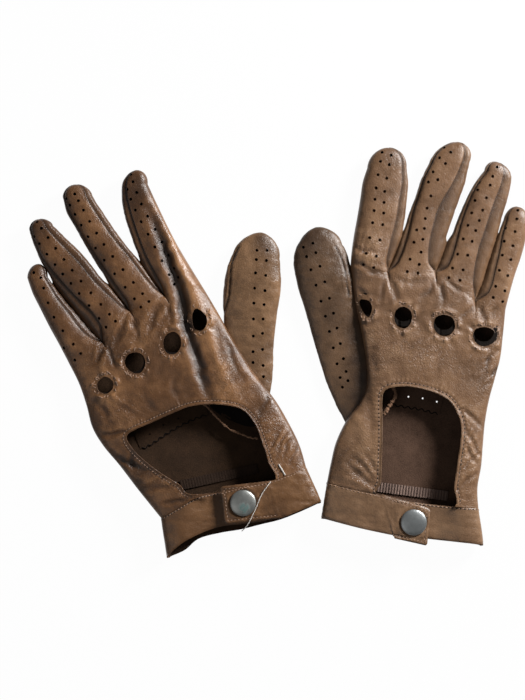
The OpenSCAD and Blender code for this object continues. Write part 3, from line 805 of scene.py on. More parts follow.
# ---- fingers and hand ----
@dataclass
class FingerForm:
    """Rows of points over one finger, worked out from its pattern."""

    finger: Finger
    place: int

    def __post_init__(self) -> None:
        """Works out the finger's stations, from its root to its tip."""
        f = self.finger
        length = np.linalg.norm(np.subtract(f.tip, f.left[0]))
        rails = round(length / ROW_STEP)
        s = np.linspace(0, 1, rails + 1)
        left, right = along(f.left, s), along(f.right, s)
        middle, half = (left + right) / 2, (right - left) / 2
        turn = np.radians(np.linspace(0, 88, TIP_ROWS + 1)[1:])
        forward = (np.sin(turn) ** (2 / TIP_SQUARE))[:, None]
        narrow = (np.cos(turn) ** (2 / TIP_SQUARE))[:, None]
        end = middle[-1] + (np.asarray(f.tip, float) - middle[-1]) * forward
        self.left = np.concatenate([left, end - half[-1] * narrow])
        self.right = np.concatenate([right, end + half[-1] * narrow])
        low = np.concatenate([np.ones(rails + 1), np.cos(turn) ** 0.6])
        low[-1] = 0.05
        self.height = FINGER_H / 2 * low
        self.share = np.concatenate([s, np.ones(TIP_ROWS)])
        self.from_root = self.share * length
        self.half = lengths(half)
        self.half = np.concatenate([self.half, np.full(TIP_ROWS, self.half[-1])])

    def folded(self, side: int) -> bool:
        """Whether the leather runs on round this side (-1 left, 1 right) without a seam."""
        return (self.place == 0 and side < 0) or (self.place == 3 and side > 0)

    def seam(self, side: int, face: Face) -> tuple[Array, Array]:
        """Where the seam runs on one side.

        Args:
            side: -1 for the left side, 1 for the right.
            face: Whether it is the seam of the back or of the palm.

        Returns:
            Its distance in from the side and its height, as shares of the half width and height.
        """
        if face is Face.PALM:
            start = ease(self.from_root / 6)
            return 1.8 / self.half * start, mix(0.52, np.full(len(start), 0.6), start) - SEAM_DIP
        insets = self.finger.inset_left if side < 0 else self.finger.inset_right
        inset = np.interp(self.share, np.linspace(0, 1, len(insets)), insets)
        smooth = np.ones(INSET_SMOOTH) / INSET_SMOOTH
        inset = np.convolve(np.pad(inset, INSET_SMOOTH // 2, "edge"), smooth, "valid")
        start = ease(self.from_root / 9)
        inward = inset / self.half * start
        height = np.maximum(0.5, 0.97 * arch(1 - inward, 2.4))
        return inward, mix(0.52, height, start) - SEAM_DIP

    def at(self, row: Array, x: Array, z: Array) -> Array:
        """Points at x across and z up, as shares from -1 to 1, on the rows given."""
        plan = mix(self.left[row], self.right[row], ((x + 1) / 2)[..., None])
        return np.concatenate([plan, (FINGER_H / 2 + z * self.height[row])[..., None]], axis=-1)

    def panel(self, face: Face) -> Array:
        """Grid over one face of the finger.

        Args:
            face: The back or the palm side.

        Returns:
            The grid, from root to tip and from left to right.
        """
        w = spread(FINGER_COLUMNS)[None, :]
        rows = np.arange(len(self.share))[:, None]
        ends, sections = [], []
        for side in (-1, 1):
            inward, height = self.seam(side, face)
            if self.folded(side):
                ends.append(np.full((len(rows), 1), float(side)))
                sections.append(arch(w, 2.6) + 0 * rows)
            else:
                ends.append((side * (1 - inward))[:, None])
                sections.append(height[:, None] + (1 - height[:, None]) * arch(w, 2.2))
        x = mix(ends[0], ends[1], (w + 1) / 2)
        z = level(face, np.where(w < 0, sections[0], sections[1]))
        return self.at(rows + np.zeros_like(x, int), x, z)

    def strip(self, side: int, reach: Array | None = None) -> Array:
        """Grid over one side between the seams, from root to tip and from back to palm.

        Args:
            side: -1 for the left side, 1 for the right.
            reach: How far each row's middle is pushed out towards the next finger.

        Returns:
            The grid.
        """
        t = np.linspace(-1, 1, STRIP_COLUMNS + 1)[None, :]
        rows = np.arange(len(self.share))[:, None]
        (top_in, top), (low_in, low) = self.seam(side, Face.BACK), self.seam(side, Face.PALM)
        share = (t + 1) / 2
        inward = mix(top_in[:, None], low_in[:, None], share)
        x = side * (1 - inward + inward * arch(t, 2.0))
        dip = SEAM_DIP * 1.4 * ease(share / 0.12) * ease((1 - share) / 0.1)
        z = mix(top[:, None], level(Face.PALM, low)[:, None], share) + dip
        points = self.at(rows + np.zeros_like(x, int), x, z)
        if reach is not None:
            points[..., :2] += reach[:, None, :] * (arch(mix(-1, 1, share**1.3), 1.6) ** 1.5)[..., None]
        return points


@dataclass
class HandForm:
    """The hand from the cuff to the knuckles, with its four fingers."""

    pattern: Pattern

    def __post_init__(self) -> None:
        """Works out the fingers."""
        self.fingers = [FingerForm(f, i) for i, f in enumerate(self.pattern.fingers)]

    def hand(self, face: Face) -> Array:
        """Grid over one face of the hand.

        Args:
            face: The back or the palm.

        Returns:
            The grid, from cuff to knuckles and from left to right.
        """
        left_side, right_side = self.pattern.hand_sides
        rows = round(np.linalg.norm(np.subtract(right_side[-1], right_side[0])) / ROW_STEP)
        v = np.linspace(0, 1, rows + 1)[:, None, None]
        knuckles = np.concatenate([f.panel(face)[0][(1 if i else 0):] for i, f in enumerate(self.fingers)])
        w = (spread(FINGER_COLUMNS) + 1) / 2
        u = np.concatenate([(i + w[(1 if i else 0):]) / 4 for i in range(4)])
        left = along(left_side, v[:, 0, 0])[:, None]
        right = along(right_side, v[:, 0, 0])[:, None]
        low = along(self.pattern.cuff_seam, u)[None]
        across = u[None, :, None]
        plan = (mix(low, knuckles[None, :, :2], v) + mix(left, right, across)
                - mix(mix(low[:, :1], low[:, -1:], across), mix(left[-1:], right[-1:], across), v))
        middle = mix(HAND_H, FINGER_H, v[..., 0] ** 1.5) / 2
        plain = level(face, arch(2 * u - 1, HAND_SQUARE))[None]
        lobed = ((knuckles[:, 2] - FINGER_H / 2) / (FINGER_H / 2))[None]
        lobes = np.clip((v[..., 0] - 0.9) / 0.1, 0, 1) ** 2.4
        z = middle + mix(plain, lobed, lobes) * middle
        return np.concatenate([plan, z[..., None]], axis=-1)

    def skin(self, face: Face) -> Sheet:
        """One face of the hand with its fingers.

        Args:
            face: The back or the palm.

        Returns:
            The skin, which takes no relief along its outer edges.
        """
        skin, turned = Sheet(), face is Face.PALM
        hand = self.hand(face)
        fade = np.ones(hand.shape[:2])
        fade[0] = 0
        fade[1] = 0.5
        edge = ease(np.minimum(np.arange(hand.shape[1]), np.arange(hand.shape[1])[::-1]) / 5)
        skin.add(hand, turned=turned, fade=fade * edge[None])
        for finger in self.fingers:
            grid = finger.panel(face)
            count = np.arange(grid.shape[1])
            sides = [ease(count / 4), ease(count[::-1] / 4)]
            across = np.minimum(sides[0], sides[1])[None]
            near = 1 - ease(finger.from_root / 5)[:, None]
            if finger.place in (0, 3):
                near_edge = sides[0 if finger.place == 0 else 1][None]
            else:
                near_edge = np.ones_like(across)
            skin.add(grid, turned=turned, fade=mix(across + 0 * near, near_edge + 0 * near, near))
        return skin

    @staticmethod
    def reach(finger: FingerForm, other: FingerForm, side: int, web: float) -> Array:
        """How far a gusset bellies out to meet the one on the next finger.

        Args:
            finger: The gusset's finger.
            other: The next finger.
            side: The finger's side, 1 for the right.
            web: How far from the root the two touch.

        Returns:
            One plan vector for each row of the finger.
        """
        own, next_edge = (finger.right, other.left) if side > 0 else (finger.left, other.right)
        far = np.stack([np.interp(finger.from_root, other.from_root, edge) for edge in next_edge.T], axis=1)
        touch = 1 - ease((finger.from_root - web + 7) / 8)
        gap = (far - own) / 2
        length = np.linalg.norm(gap, axis=1, keepdims=True)
        return gap * (1 + 0.7 / np.maximum(length, 0.35)) * touch[:, None]

    def fourchette(self, place: int) -> Sheet:
        """The strip between two fingers, down the side of one and up the side of the other.

        Args:
            place: The first finger's place, from 0 at the left.

        Returns:
            The strip as a skin.
        """
        before, after = self.fingers[place], self.fingers[place + 1]
        down = before.strip(1, self.reach(before, after, 1, self.pattern.webs[place]))[::-1]
        up = after.strip(-1, self.reach(after, before, -1, self.pattern.webs[place]))
        skin = Sheet()
        grid = np.concatenate([down[:-1], (down[-1:] + up[:1]) / 2, up[1:]])
        rows = np.arange(grid.shape[1])
        fade = ease(np.minimum(rows, rows[::-1]) / 3)[None] + np.zeros(grid.shape[:1] + (1,))
        skin.add(grid, turned=True, fade=fade)
        return skin


# ---- relief of the worn leather ----
@dataclass
class Relief:
    """Height of creases, wrinkles and puckers above the smooth skin."""

    pattern: Pattern

    def __post_init__(self) -> None:
        """Sets up the noise and the curves."""
        self.noise = Noise(self.pattern.seed)
        self.window = even_points(self.pattern.window, 0.8, closed=True)
        self.holes = [even_points(k, 0.6, closed=True) for k in self.pattern.knuckles]

    def folds(self, plan: Array) -> Array:
        """Height of the creases and ridges.

        Args:
            plan: The places.

        Returns:
            One height for each place.
        """
        total = np.zeros(len(plan))
        wavy = plan + 0.9 * np.stack([self.noise.at(plan + 40, 5), self.noise.at(plan - 70, 5)], axis=1)
        for fold in self.pattern.folds:
            line = even_points(fold.points, 1.0)
            low, high = line.min(axis=0) - 4 * fold.width, line.max(axis=0) + 4 * fold.width
            near = np.all((wavy > low) & (wavy < high), axis=1)
            if not near.any():
                continue
            gap, share = distance_to(wavy[near], line)
            taper = np.sin(np.pi * np.clip(share, 0.02, 0.98)) ** 0.5
            shape = bell(gap, fold.width)
            if fold.height < 0:
                shape = 1.15 * shape - 0.25 * bell(gap / fold.width, 0.9, 1.9)
            total[near] += fold.height * taper * shape
        return total

    def wrinkles(self, plan: Array) -> Array:
        """Height of the patches of fine wrinkles.

        Args:
            plan: The places.

        Returns:
            One height for each place.
        """
        total = np.zeros(len(plan))
        for i, patch in enumerate(self.pattern.patches):
            a = math.radians(patch.angle)
            run = plan @ np.array([[math.cos(a), -math.sin(a)], [math.sin(a), math.cos(a)]])
            away = (plan - patch.centre) / patch.radius
            share = np.exp(-(away ** 2).sum(axis=1) * 1.3)
            if share.max() < 0.02:
                continue
            lines = self.noise.creases(run * np.array([0.25, 1.0]) + 31 * i, patch.pitch * 1.25)
            total += patch.height * share * lines * 1.5
        return total

    def crinkle(self, plan: Array) -> Array:
        """How finely creased the leather is, from 0 to 1."""
        away = [(((plan - p.centre) / p.radius) ** 2).sum(axis=1) for p in self.pattern.patches]
        return np.clip(sum(np.exp(-a * 0.9) for a in away), 0, 1)

    def puckers(self, plan: Array) -> Array:
        """Height of the gathered rings round the knuckle holes.

        Args:
            plan: The places.

        Returns:
            One height for each place.
        """
        total = np.zeros(len(plan))
        for i, line in enumerate(self.holes):
            centre = line.mean(axis=0)
            near = lengths(plan - centre) < 16
            if not near.any():
                continue
            gap, _ = distance_to(plan[near], looped(line))
            turn = np.arctan2(*(plan[near] - centre).T)
            wave = self.noise.at(np.stack([turn * 3.2 + 9 * i, gap / 9], axis=1), 1.0)
            total[near] += (0.6 * bell(gap, 1.3, 2.6) * (0.5 + 1.3 * wave)
                            - 0.35 * bell(gap, 0.5, 1.2) + 0.25 * wave * bell(gap, 3, 5))
        return total

    def window_edge(self, plan: Array) -> Array:
        """Height of the turned edge of the window and of the groove of its stitches.

        Args:
            plan: The places.

        Returns:
            One height for each place.
        """
        gap, share = distance_to(plan, looped(self.window))
        gathers = np.cos(share * len(self.window) * 0.8 / self.pattern.stitch_pitch * 2 * math.pi)
        return (0.3 * bell(gap, 1.1) - 0.28 * bell(gap, 0.45, 2.1)
                + (0.15 + 0.16 * gathers) * bell(gap, 1.5, 3.4))

    def back(self, places: Array) -> Array:
        """Height above the smooth back.

        Args:
            places: The places, in millimetres.

        Returns:
            One height for each place.
        """
        plan = places[:, :2]
        return (self.folds(plan) + self.wrinkles(plan) + self.puckers(plan) + self.window_edge(plan)
                + 0.35 * self.noise.rough(plan, 14) + 0.05 * self.noise.rough(plan + 200, 1.8, 2))

    def soft(self, places: Array) -> Array:
        """Height above the smooth palm, thumb and gussets."""
        slanted = places @ np.array([[0.8, 0.3, 0], [-0.3, 1.6, 0], [0.3, 0.4, 1.0]])
        return 0.2 * self.noise.rough(places, 9) + 0.12 * self.noise.creases(slanted, 4)


def distance_to(plan: Array, line: Array) -> tuple[Array, Array]:
    """Distance from points to a line.

    Args:
        plan: The points.
        line: The line's points.

    Returns:
        The distances, and the shares of the way along the line of the nearest places.
    """
    best = np.full(len(plan), FAR)
    share = np.zeros(len(plan))
    n = len(line) - 1
    for i in range(n):
        a, run = line[i], line[i + 1] - line[i]
        t = np.clip((plan - a) @ run / max(run @ run, 1e-12), 0, 1)
        gap = lengths(plan - a - t[:, None] * run)
        closer = gap < best
        best[closer] = gap[closer]
        share[closer] = (i + t[closer]) / n
    return best, share


# ---- finishes ----
Term = Union["Wire", float]
Input = Union["Wire", NodeSocket, float, tuple]


class Wire:
    """An output socket that takes part in shader arithmetic."""

    def __init__(self, tree: NodeTree, socket: NodeSocket) -> None:
        """Wraps a socket of a tree."""
        self.tree = tree
        self.socket = socket

    def _math(self, operation: str, *values: Term) -> "Wire":
        """Adds one Math node.

        Args:
            operation: What it does.
            values: Its inputs, in the node's own order.

        Returns:
            Its result.
        """
        node = self.tree.nodes.new("ShaderNodeMath")
        node.operation = operation
        for i, value in enumerate(values):
            join(self.tree, value, node.inputs[i])
        return Wire(self.tree, node.outputs[0])

    def __add__(self, other: Term) -> "Wire":
        """Sum."""
        return self._math("ADD", self, other)

    __radd__ = __add__

    def __sub__(self, other: Term) -> "Wire":
        """Difference."""
        return self._math("SUBTRACT", self, other)

    def __rsub__(self, other: Term) -> "Wire":
        """Difference with a number first."""
        return self._math("SUBTRACT", other, self)

    def __mul__(self, other: Term) -> "Wire":
        """Product."""
        return self._math("MULTIPLY", self, other)

    __rmul__ = __mul__

    def clamp(self) -> "Wire":
        """The value kept between 0 and 1."""
        return self._math("MINIMUM", self._math("MAXIMUM", self, 0.0), 1.0)


def join(tree: NodeTree, value: Input, socket: NodeSocket) -> None:
    """Links a wire or an output to a socket, or sets the socket's own value.

    Args:
        tree: The tree.
        value: The wire, the output or the value.
        socket: The input socket.
    """
    if isinstance(value, Wire):
        value = value.socket
    if isinstance(value, NodeSocket):
        tree.links.new(value, socket)
    else:
        socket.default_value = value


def add_node(tree: NodeTree, kind: str, settings: dict | None, inputs: dict) -> Node:
    """Adds a node.

    Args:
        tree: The tree.
        kind: Its full type name.
        settings: Its properties; "stops" sets a ramp's places and colours.
        inputs: Values, wires or outputs by socket name, with _ for a space.

    Returns:
        The node.
    """
    node = tree.nodes.new(kind)
    for key, value in (settings or {}).items():
        if key == "stops":
            elements = node.color_ramp.elements
            while len(elements) < len(value):
                elements.new(0.5)
            for element, (position, shade) in zip(elements, value):
                element.position = position
                element.color = shade
        else:
            setattr(node, key, value)
    for key, value in inputs.items():
        name = key.replace("_", " ")
        join(tree, value, next(s for s in node.inputs if s.name == name and s.enabled))
    return node


class Shader:
    """A material's node tree with one Principled shader."""

    def __init__(self, name: str) -> None:
        """Starts an empty material.

        Args:
            name: Its name.
        """
        self.material = bpy.data.materials.new(name)
        self.material.use_nodes = True
        self.tree = self.material.node_tree
        self.tree.nodes.clear()
        self.surface = self.tree.nodes.new("ShaderNodeBsdfPrincipled")
        end = self.tree.nodes.new("ShaderNodeOutputMaterial")
        self.tree.links.new(self.surface.outputs[0], end.inputs["Surface"])
        self.place = Wire(self.tree, self.tree.nodes.new("ShaderNodeTexCoord").outputs["Object"])

    def node(self, kind: str, output: int | str = 0, settings: dict | None = None,
             **inputs: Input) -> Wire:
        """Adds a node, as add_node does, and takes one of its outputs."""
        node = add_node(self.tree, "ShaderNode" + kind, settings, inputs)
        return Wire(self.tree, node.outputs[output])

    def vector(self, operation: str, *values: Input) -> Wire:
        """Adds one Vector Math node.

        Args:
            operation: What it does.
            values: Its inputs, in the node's own order.

        Returns:
            Its result.
        """
        node = self.tree.nodes.new("ShaderNodeVectorMath")
        node.operation = operation
        for value, socket in zip(values, [s for s in node.inputs if s.enabled]):
            join(self.tree, value, socket)
        return Wire(self.tree, node.outputs[0])

    def noise(self, size: float, detail: float = 3, rough: float = 0.5, **more: Term) -> Wire:
        """Noise from 0 to 1 whose features are size millimetres across."""
        more.setdefault("Vector", self.place)
        return self.node("TexNoise", Scale=1 / (size * MM), Detail=detail, Roughness=rough, **more)

    def cells(self, size: float, feature: str = "F1", **more: Term) -> Wire:
        """Distance to the middle, or the edge, of cells size millimetres across."""
        more.setdefault("Vector", self.place)
        return self.node("TexVoronoi", "Distance", {"feature": feature}, Scale=1 / (size * MM), **more)

    def attribute(self, name: str) -> Wire:
        """A value stored on the mesh."""
        return self.node("Attribute", "Fac", {"attribute_name": name})

    def blend(self, a: Input, b: Input, share: Term) -> Wire:
        """Mixes two colours.

        Args:
            a: The first colour.
            b: The second colour.
            share: How much of the second one is taken, from 0 to 1.

        Returns:
            The mixed colour.
        """
        node = self.tree.nodes.new("ShaderNodeMix")
        node.data_type = "RGBA"
        join(self.tree, share, node.inputs[0])
        join(self.tree, a, node.inputs[6])
        join(self.tree, b, node.inputs[7])
        return Wire(self.tree, node.outputs[2])

    def scale(self, value: Wire, low: float, high: float, to_low: float = 0, to_high: float = 1) -> Wire:
        """Maps a range of values onto another, clamped."""
        return self.node("MapRange", 0, {"clamp": True}, Value=value, From_Min=low, From_Max=high,
                         To_Min=to_low, To_Max=to_high)

    def bump(self, height: Wire, depth: float, strength: float = 1, normal: Wire | None = None) -> Wire:
        """Normal bent by a height whose range is depth millimetres."""
        more = {} if normal is None else {"Normal": normal}
        return self.node("Bump", Height=height, Distance=depth * MM, Strength=strength, **more)

    def set(self, **sockets: Input) -> None:
        """Sets or links sockets of the shader, with _ for a space."""
        for key, value in sockets.items():
            join(self.tree, value, self.surface.inputs[key.replace("_", " ")])


def colour(red: int, green: int, blue: int) -> tuple[float, float, float, float]:
    """Shader colour from its three shares of 255, as seen on a display."""
    shares = [c / 255 for c in (red, green, blue)]
    return (*[s / 12.92 if s <= 0.04045 else ((s + 0.055) / 1.055) ** 2.4 for s in shares], 1.0)


@dataclass(frozen=True)
class Leather:
    """Grained, worn glove leather."""

    name: str
    light: tuple[int, int, int]
    middle: tuple[int, int, int]
    dark: tuple[int, int, int]
    roughness: float = 0.4
    grain: float = 0.32
    crackle: float = 1.0

    def material(self) -> Material:
        """Builds the material.

        Returns:
            The material.
        """
        s = Shader(self.name)
        relief, stain = s.attribute("relief"), s.attribute("stain")
        clouds = s.noise(22, 3, 0.55)
        mottle = s.noise(5, 4, 0.6)
        specks = s.noise(1.1, 3, 0.6)
        pores = s.cells(self.grain)
        bend = s.node("TexNoise", "Color", Vector=s.place, Scale=1 / (4 * MM), Detail=2.0)
        bent = s.vector("ADD", s.place, s.vector("SCALE", bend, 1.6 * MM))
        creases = s.cells(1.5, "DISTANCE_TO_EDGE", Vector=bent)
        # Partly painted light: raised relief makes the tone lighter and sunken creases darker, on top of
        # the leather's own mottle.
        tone = (0.5 + (clouds - 0.5) * 0.7 + (mottle - 0.5) * 0.4 + (specks - 0.5) * 0.1
                + relief * 0.28).clamp()
        shade = s.node("ValToRGB", 0, {"stops": [(0.12, colour(*self.dark)), (0.5, colour(*self.middle)),
                                                 (0.92, colour(*self.light))]}, Fac=tone)
        # Painted shade: the colour darkens along the edges of the fine crease cells.
        shade = s.blend(shade, colour(*self.dark), s.scale(creases, 0.0, 0.09, 0.16, 0.0))
        # Darkens towards a near-black brown by stain: stains from handling, and painted shadow where the
        # pattern lays it.
        shade = s.blend(shade, colour(30, 18, 11), (stain * 0.85).clamp())
        fine = s.bump(s.noise(0.35, 2, 0.6), 0.05, 0.5)
        grain = s.bump(pores, 0.05, 0.6, fine)
        crackle = s.bump(s.scale(creases, 0.0, 0.16), 0.09 * self.crackle, 0.55, grain)
        lines = s.noise(2.4, 2, 0.5, Distortion=1.4) - 0.5
        wrinkled = s.bump((lines * lines * 60).clamp() * s.attribute("crinkle"), 0.4, 0.35, crackle)
        folds = s.bump(s.noise(3.2, 3, 0.6, Distortion=0.6), 0.35, 0.5, wrinkled)
        s.set(Base_Color=shade, Normal=folds,
              Roughness=(self.roughness + (mottle - 0.5) * 0.25 - relief * 0.05).clamp(),
              Specular_IOR_Level=0.4)
        return s.material


@dataclass(frozen=True)
class Suede:
    """Napped inner side of the leather, and cut edges."""

    name: str
    light: tuple[int, int, int]
    dark: tuple[int, int, int]
    nap: float = 0.6

    def material(self) -> Material:
        """Builds the material.

        Returns:
            The material.
        """
        s = Shader(self.name)
        clouds = s.noise(9, 4, 0.65)
        nap = s.noise(self.nap, 4, 0.7)
        tone = ((clouds - 0.5) * 0.8 + (nap - 0.5) * 1.0 + 0.5).clamp()
        shade = s.node("ValToRGB", 0, {"stops": [(0.1, colour(*self.dark)), (0.9, colour(*self.light))]},
                       Fac=tone)
        s.set(Base_Color=shade, Roughness=0.95, Specular_IOR_Level=0.15,
              Normal=s.bump(nap, 0.3, 0.8, s.bump(clouds, 0.6, 0.4)))
        return s.material


@dataclass(frozen=True)
class Thread:
    """Twisted sewing thread."""

    name: str
    shade: tuple[int, int, int] = (158, 126, 104)

    def material(self) -> Material:
        """Builds the material.

        Returns:
            The material.
        """
        s = Shader(self.name)
        twist = s.noise(0.25, 2, 0.5)
        tone = s.blend(colour(*[round(c * 0.6) for c in self.shade]), colour(*self.shade), twist)
        s.set(Base_Color=tone, Roughness=0.7, Normal=s.bump(twist, 0.08, 0.7))
        return s.material


@dataclass(frozen=True)
class SnapMetal:
    """Worn plated brass of the snaps."""

    name: str
    shade: tuple[int, int, int]

    def material(self) -> Material:
        """Builds the material.

        Returns:
            The material.
        """
        s = Shader(self.name)
        clouds, spots = s.noise(3.2, 4, 0.6), s.noise(0.5, 3, 0.6)
        base = s.blend(colour(*[round(c * 0.82) for c in self.shade]),
                       colour(*[min(255, round(c * 1.12)) for c in self.shade]), clouds)
        patch = (s.attribute("verdigris") * s.scale(s.noise(1.6, 3, 0.6), 0.4, 0.52)).clamp()
        base = s.blend(base, colour(84, 104, 101), patch)
        s.set(Base_Color=base, Metallic=(0.85 - patch * 0.7).clamp(),
              Roughness=(0.42 + (spots - 0.5) * 0.2 + patch * 0.3).clamp(),
              Normal=s.bump(spots, 0.03, 0.5, s.bump(clouds, 0.15, 0.3)))
        return s.material


@dataclass
class Finishes:
    """Every material of the pair."""

    leather: Material
    thumb: Material
    gusset: Material
    band: Material
    suede: Material
    black: Material
    edge: Material
    tape: Material
    thread: Material
    hole: Material
    metal: Material
    nylon: Material

    @classmethod
    def build(cls, side: Side) -> "Finishes":
        """Builds the materials of one glove; the left one's leathers and suede are painted darker, as shade
        over that glove.

        Args:
            side: Which glove.

        Returns:
            Its materials.
        """
        left, own = side is Side.LEFT, side.value
        return cls(
            leather=Leather(own + " leather", *((134, 96, 63), (86, 57, 33), (44, 27, 14)) if left
                            else ((134, 104, 77), (102, 75, 53), (60, 41, 26))).material(),
            # Each thumb's leather is painted to its light: lighter on the left glove, darker on the right,
            # as the hand's shadow over it.
            thumb=Leather(own + " thumb leather with painted shading", *((146, 112, 82), (99, 73, 50), (54, 36, 22)) if left
                          else ((106, 80, 58), (76, 56, 39), (42, 28, 18))).material(),
            # The gussets' leather is painted darker than the back's, as the shade between the fingers.
            gusset=Leather(own + " gusset leather in painted shade", *((104, 73, 45), (73, 48, 28), (41, 25, 13)) if left
                           else ((122, 94, 69), (90, 66, 46), (52, 36, 23))).material(),
            band=Leather(own + " band leather", *((120, 86, 55), (88, 60, 36), (52, 33, 18)) if left
                         else ((135, 106, 80), (106, 80, 58), (66, 46, 30)), crackle=0.7).material(),
            suede=Suede(own + " suede inside", *((62, 44, 30), (30, 21, 14)) if left
                        else ((92, 70, 57), (48, 34, 26))).material(),
            # Near-black suede painted where only shade shows: inside the thumb, in the vents, on the
            # knuckle facings and along the patch's edge.
            black=Suede(own + " painted shade inside", (22, 15, 11), (6, 4, 3)).material(),
            edge=Suede(own + " cut edge", (140, 108, 86), (86, 61, 45), 0.3).material(),
            tape=Suede(own + " elastic tape", *((52, 38, 29), (28, 20, 15)) if left
                       else ((128, 108, 98), (70, 56, 50)), nap=0.3).material(),
            thread=Thread(own + " thread").material(),
            # The hole finish is near-black: painted shade on the punched holes' walls and at the needle
            # holes, and dark thread on the finger and thumb seams.
            hole=Thread(own + " needle holes", (24, 15, 10)).material(),
            metal=SnapMetal(own + " snap metal", (140, 142, 138) if left else (138, 141, 141)).material(),
            nylon=Thread(own + " nylon", (226, 220, 212)).material())


def store(obj: Object, name: str, values: Array) -> None:
    """Stores a value for each point of an object's mesh."""
    layer = obj.data.attributes.get(name) or obj.data.attributes.new(name, "FLOAT", "POINT")
    layer.data.foreach_set("value", values.astype(np.float32))


def report(obj: Object) -> None:
    """Logs a finished piece."""
    log.info("%s: %d faces", obj.name, len(obj.data.polygons))


def paint(obj: Object, material: Material) -> None:
    """Gives an object its only material."""
    obj.data.materials.clear()
    obj.data.materials.append(material)


# ---- Geometry Nodes ----
class Growth:
    """A Geometry Nodes tree that sets copies of a small form on points."""

    def __init__(self, name: str, *sizes: str) -> None:
        """Starts a tree with its inputs.

        Args:
            name: Its name.
            sizes: Names of its inputs for sizes.
        """
        self.tree = bpy.data.node_groups.new(name, "GeometryNodeTree")
        ask = self.tree.interface.new_socket
        ask("Geometry", in_out="OUTPUT", socket_type="NodeSocketGeometry")
        ask("Geometry", in_out="INPUT", socket_type="NodeSocketGeometry")
        kinds = {**dict.fromkeys(sizes, "Float"), "Material": "Material"}
        self.ids = [ask(key, in_out="INPUT", socket_type="NodeSocket" + kind).identifier
                    for key, kind in kinds.items()]
        self.source = self.node("NodeGroupInput").outputs

    def node(self, kind: str, settings: dict | None = None, **inputs: object) -> Node:
        """Adds a node, as add_node does."""
        return add_node(self.tree, kind, settings, inputs)

    def on_points(self, form: NodeSocket) -> None:
        """Sets the form on the points, along their run and up vectors, and ends the tree.

        Args:
            form: The form's geometry.
        """
        run = self.node("GeometryNodeInputNamedAttribute", {"data_type": "FLOAT_VECTOR"}, Name="run")
        up = self.node("GeometryNodeInputNamedAttribute", {"data_type": "FLOAT_VECTOR"}, Name="up")
        along_run = self.node("FunctionNodeAlignRotationToVector", {"axis": "X"},
                              Vector=run.outputs[0])
        turned = self.node("FunctionNodeAlignRotationToVector", {"axis": "Z", "pivot_axis": "X"},
                           Rotation=along_run.outputs[0], Vector=up.outputs[0])
        copies = self.node("GeometryNodeInstanceOnPoints", Points=self.source["Geometry"],
                           Instance=form, Rotation=turned.outputs[0])
        real = self.node("GeometryNodeRealizeInstances", Geometry=copies.outputs[0])
        painted = self.node("GeometryNodeSetMaterial", Geometry=real.outputs[0],
                            Material=self.source["Material"])
        end = self.node("NodeGroupOutput")
        self.tree.links.new(painted.outputs[0], end.inputs[0])


class Stitches:
    """Grows stitches, or hole punches, on points with a run and an up vector."""

    def __init__(self) -> None:
        """Builds the two trees."""
        self.stitch = Growth("stitches", "Length", "Width", "Height")
        asked = self.stitch.source
        ball = self.stitch.node("GeometryNodeMeshUVSphere", Segments=8, Rings=5, Radius=0.5)
        size = self.stitch.node("ShaderNodeCombineXYZ", X=asked["Length"], Y=asked["Width"],
                                Z=asked["Height"])
        form = self.stitch.node("GeometryNodeTransform", Geometry=ball.outputs[0], Scale=size.outputs[0])
        self.stitch.on_points(form.outputs[0])
        self.punch = Growth("hole punches", "Radius", "Depth")
        asked = self.punch.source
        rod = self.punch.node("GeometryNodeMeshCylinder", {"fill_type": "NGON"}, Vertices=12,
                              Radius=asked["Radius"], Depth=asked["Depth"])
        self.punch.on_points(rod.outputs[0])

    def grow(self, name: str, growth: Growth, values: Sequence, sites: "Sites") -> Object:
        """Makes one object of all copies.

        Args:
            name: The object's name.
            growth: Which tree grows.
            values: Values of the tree's inputs, sizes in metres.
            sites: Where the copies stand.

        Returns:
            The object, with its modifier applied.
        """
        mesh = bpy.data.meshes.new(name)
        mesh.from_pydata((sites.points * MM).tolist(), [], [])
        for key, vectors in (("run", sites.runs), ("up", sites.ups)):
            layer = mesh.attributes.new(key, "FLOAT_VECTOR", "POINT")
            layer.data.foreach_set("vector", vectors.astype(np.float32).reshape(-1))
        obj = place(name, mesh)
        step = obj.modifiers.new("growth", "NODES")
        step.node_group = growth.tree
        for key, value in zip(growth.ids, values):
            step[key] = value
        return settle(obj)

    def sew(self, name: str, sites: "Sites", size: Sequence[float], material: Material) -> Object:
        """Sews stitches.

        Args:
            name: The object's name.
            sites: Where they lie.
            size: Length, width and height of one, in millimetres.
            material: Their material.

        Returns:
            All stitches as one object.
        """
        obj = self.grow(name, self.stitch, (*(s * MM for s in size), material), sites)
        paint(obj, material)
        obj.data.shade_smooth()
        return obj

    def punches(self, sites: "Sites", material: Material) -> Object:
        """Makes the rods that cut round holes."""
        return self.grow("punches", self.punch, (HOLE_RADIUS * MM, PUNCH_DEPTH * MM, material), sites)


def look_down(tree: BVHTree, x: float, y: float) -> tuple[Vector | None, Vector | None]:
    """Highest place of a surface under a point."""
    return tree.ray_cast(Vector((x * MM, y * MM, SKY_H * MM)), Vector((0, 0, -1)))[:2]


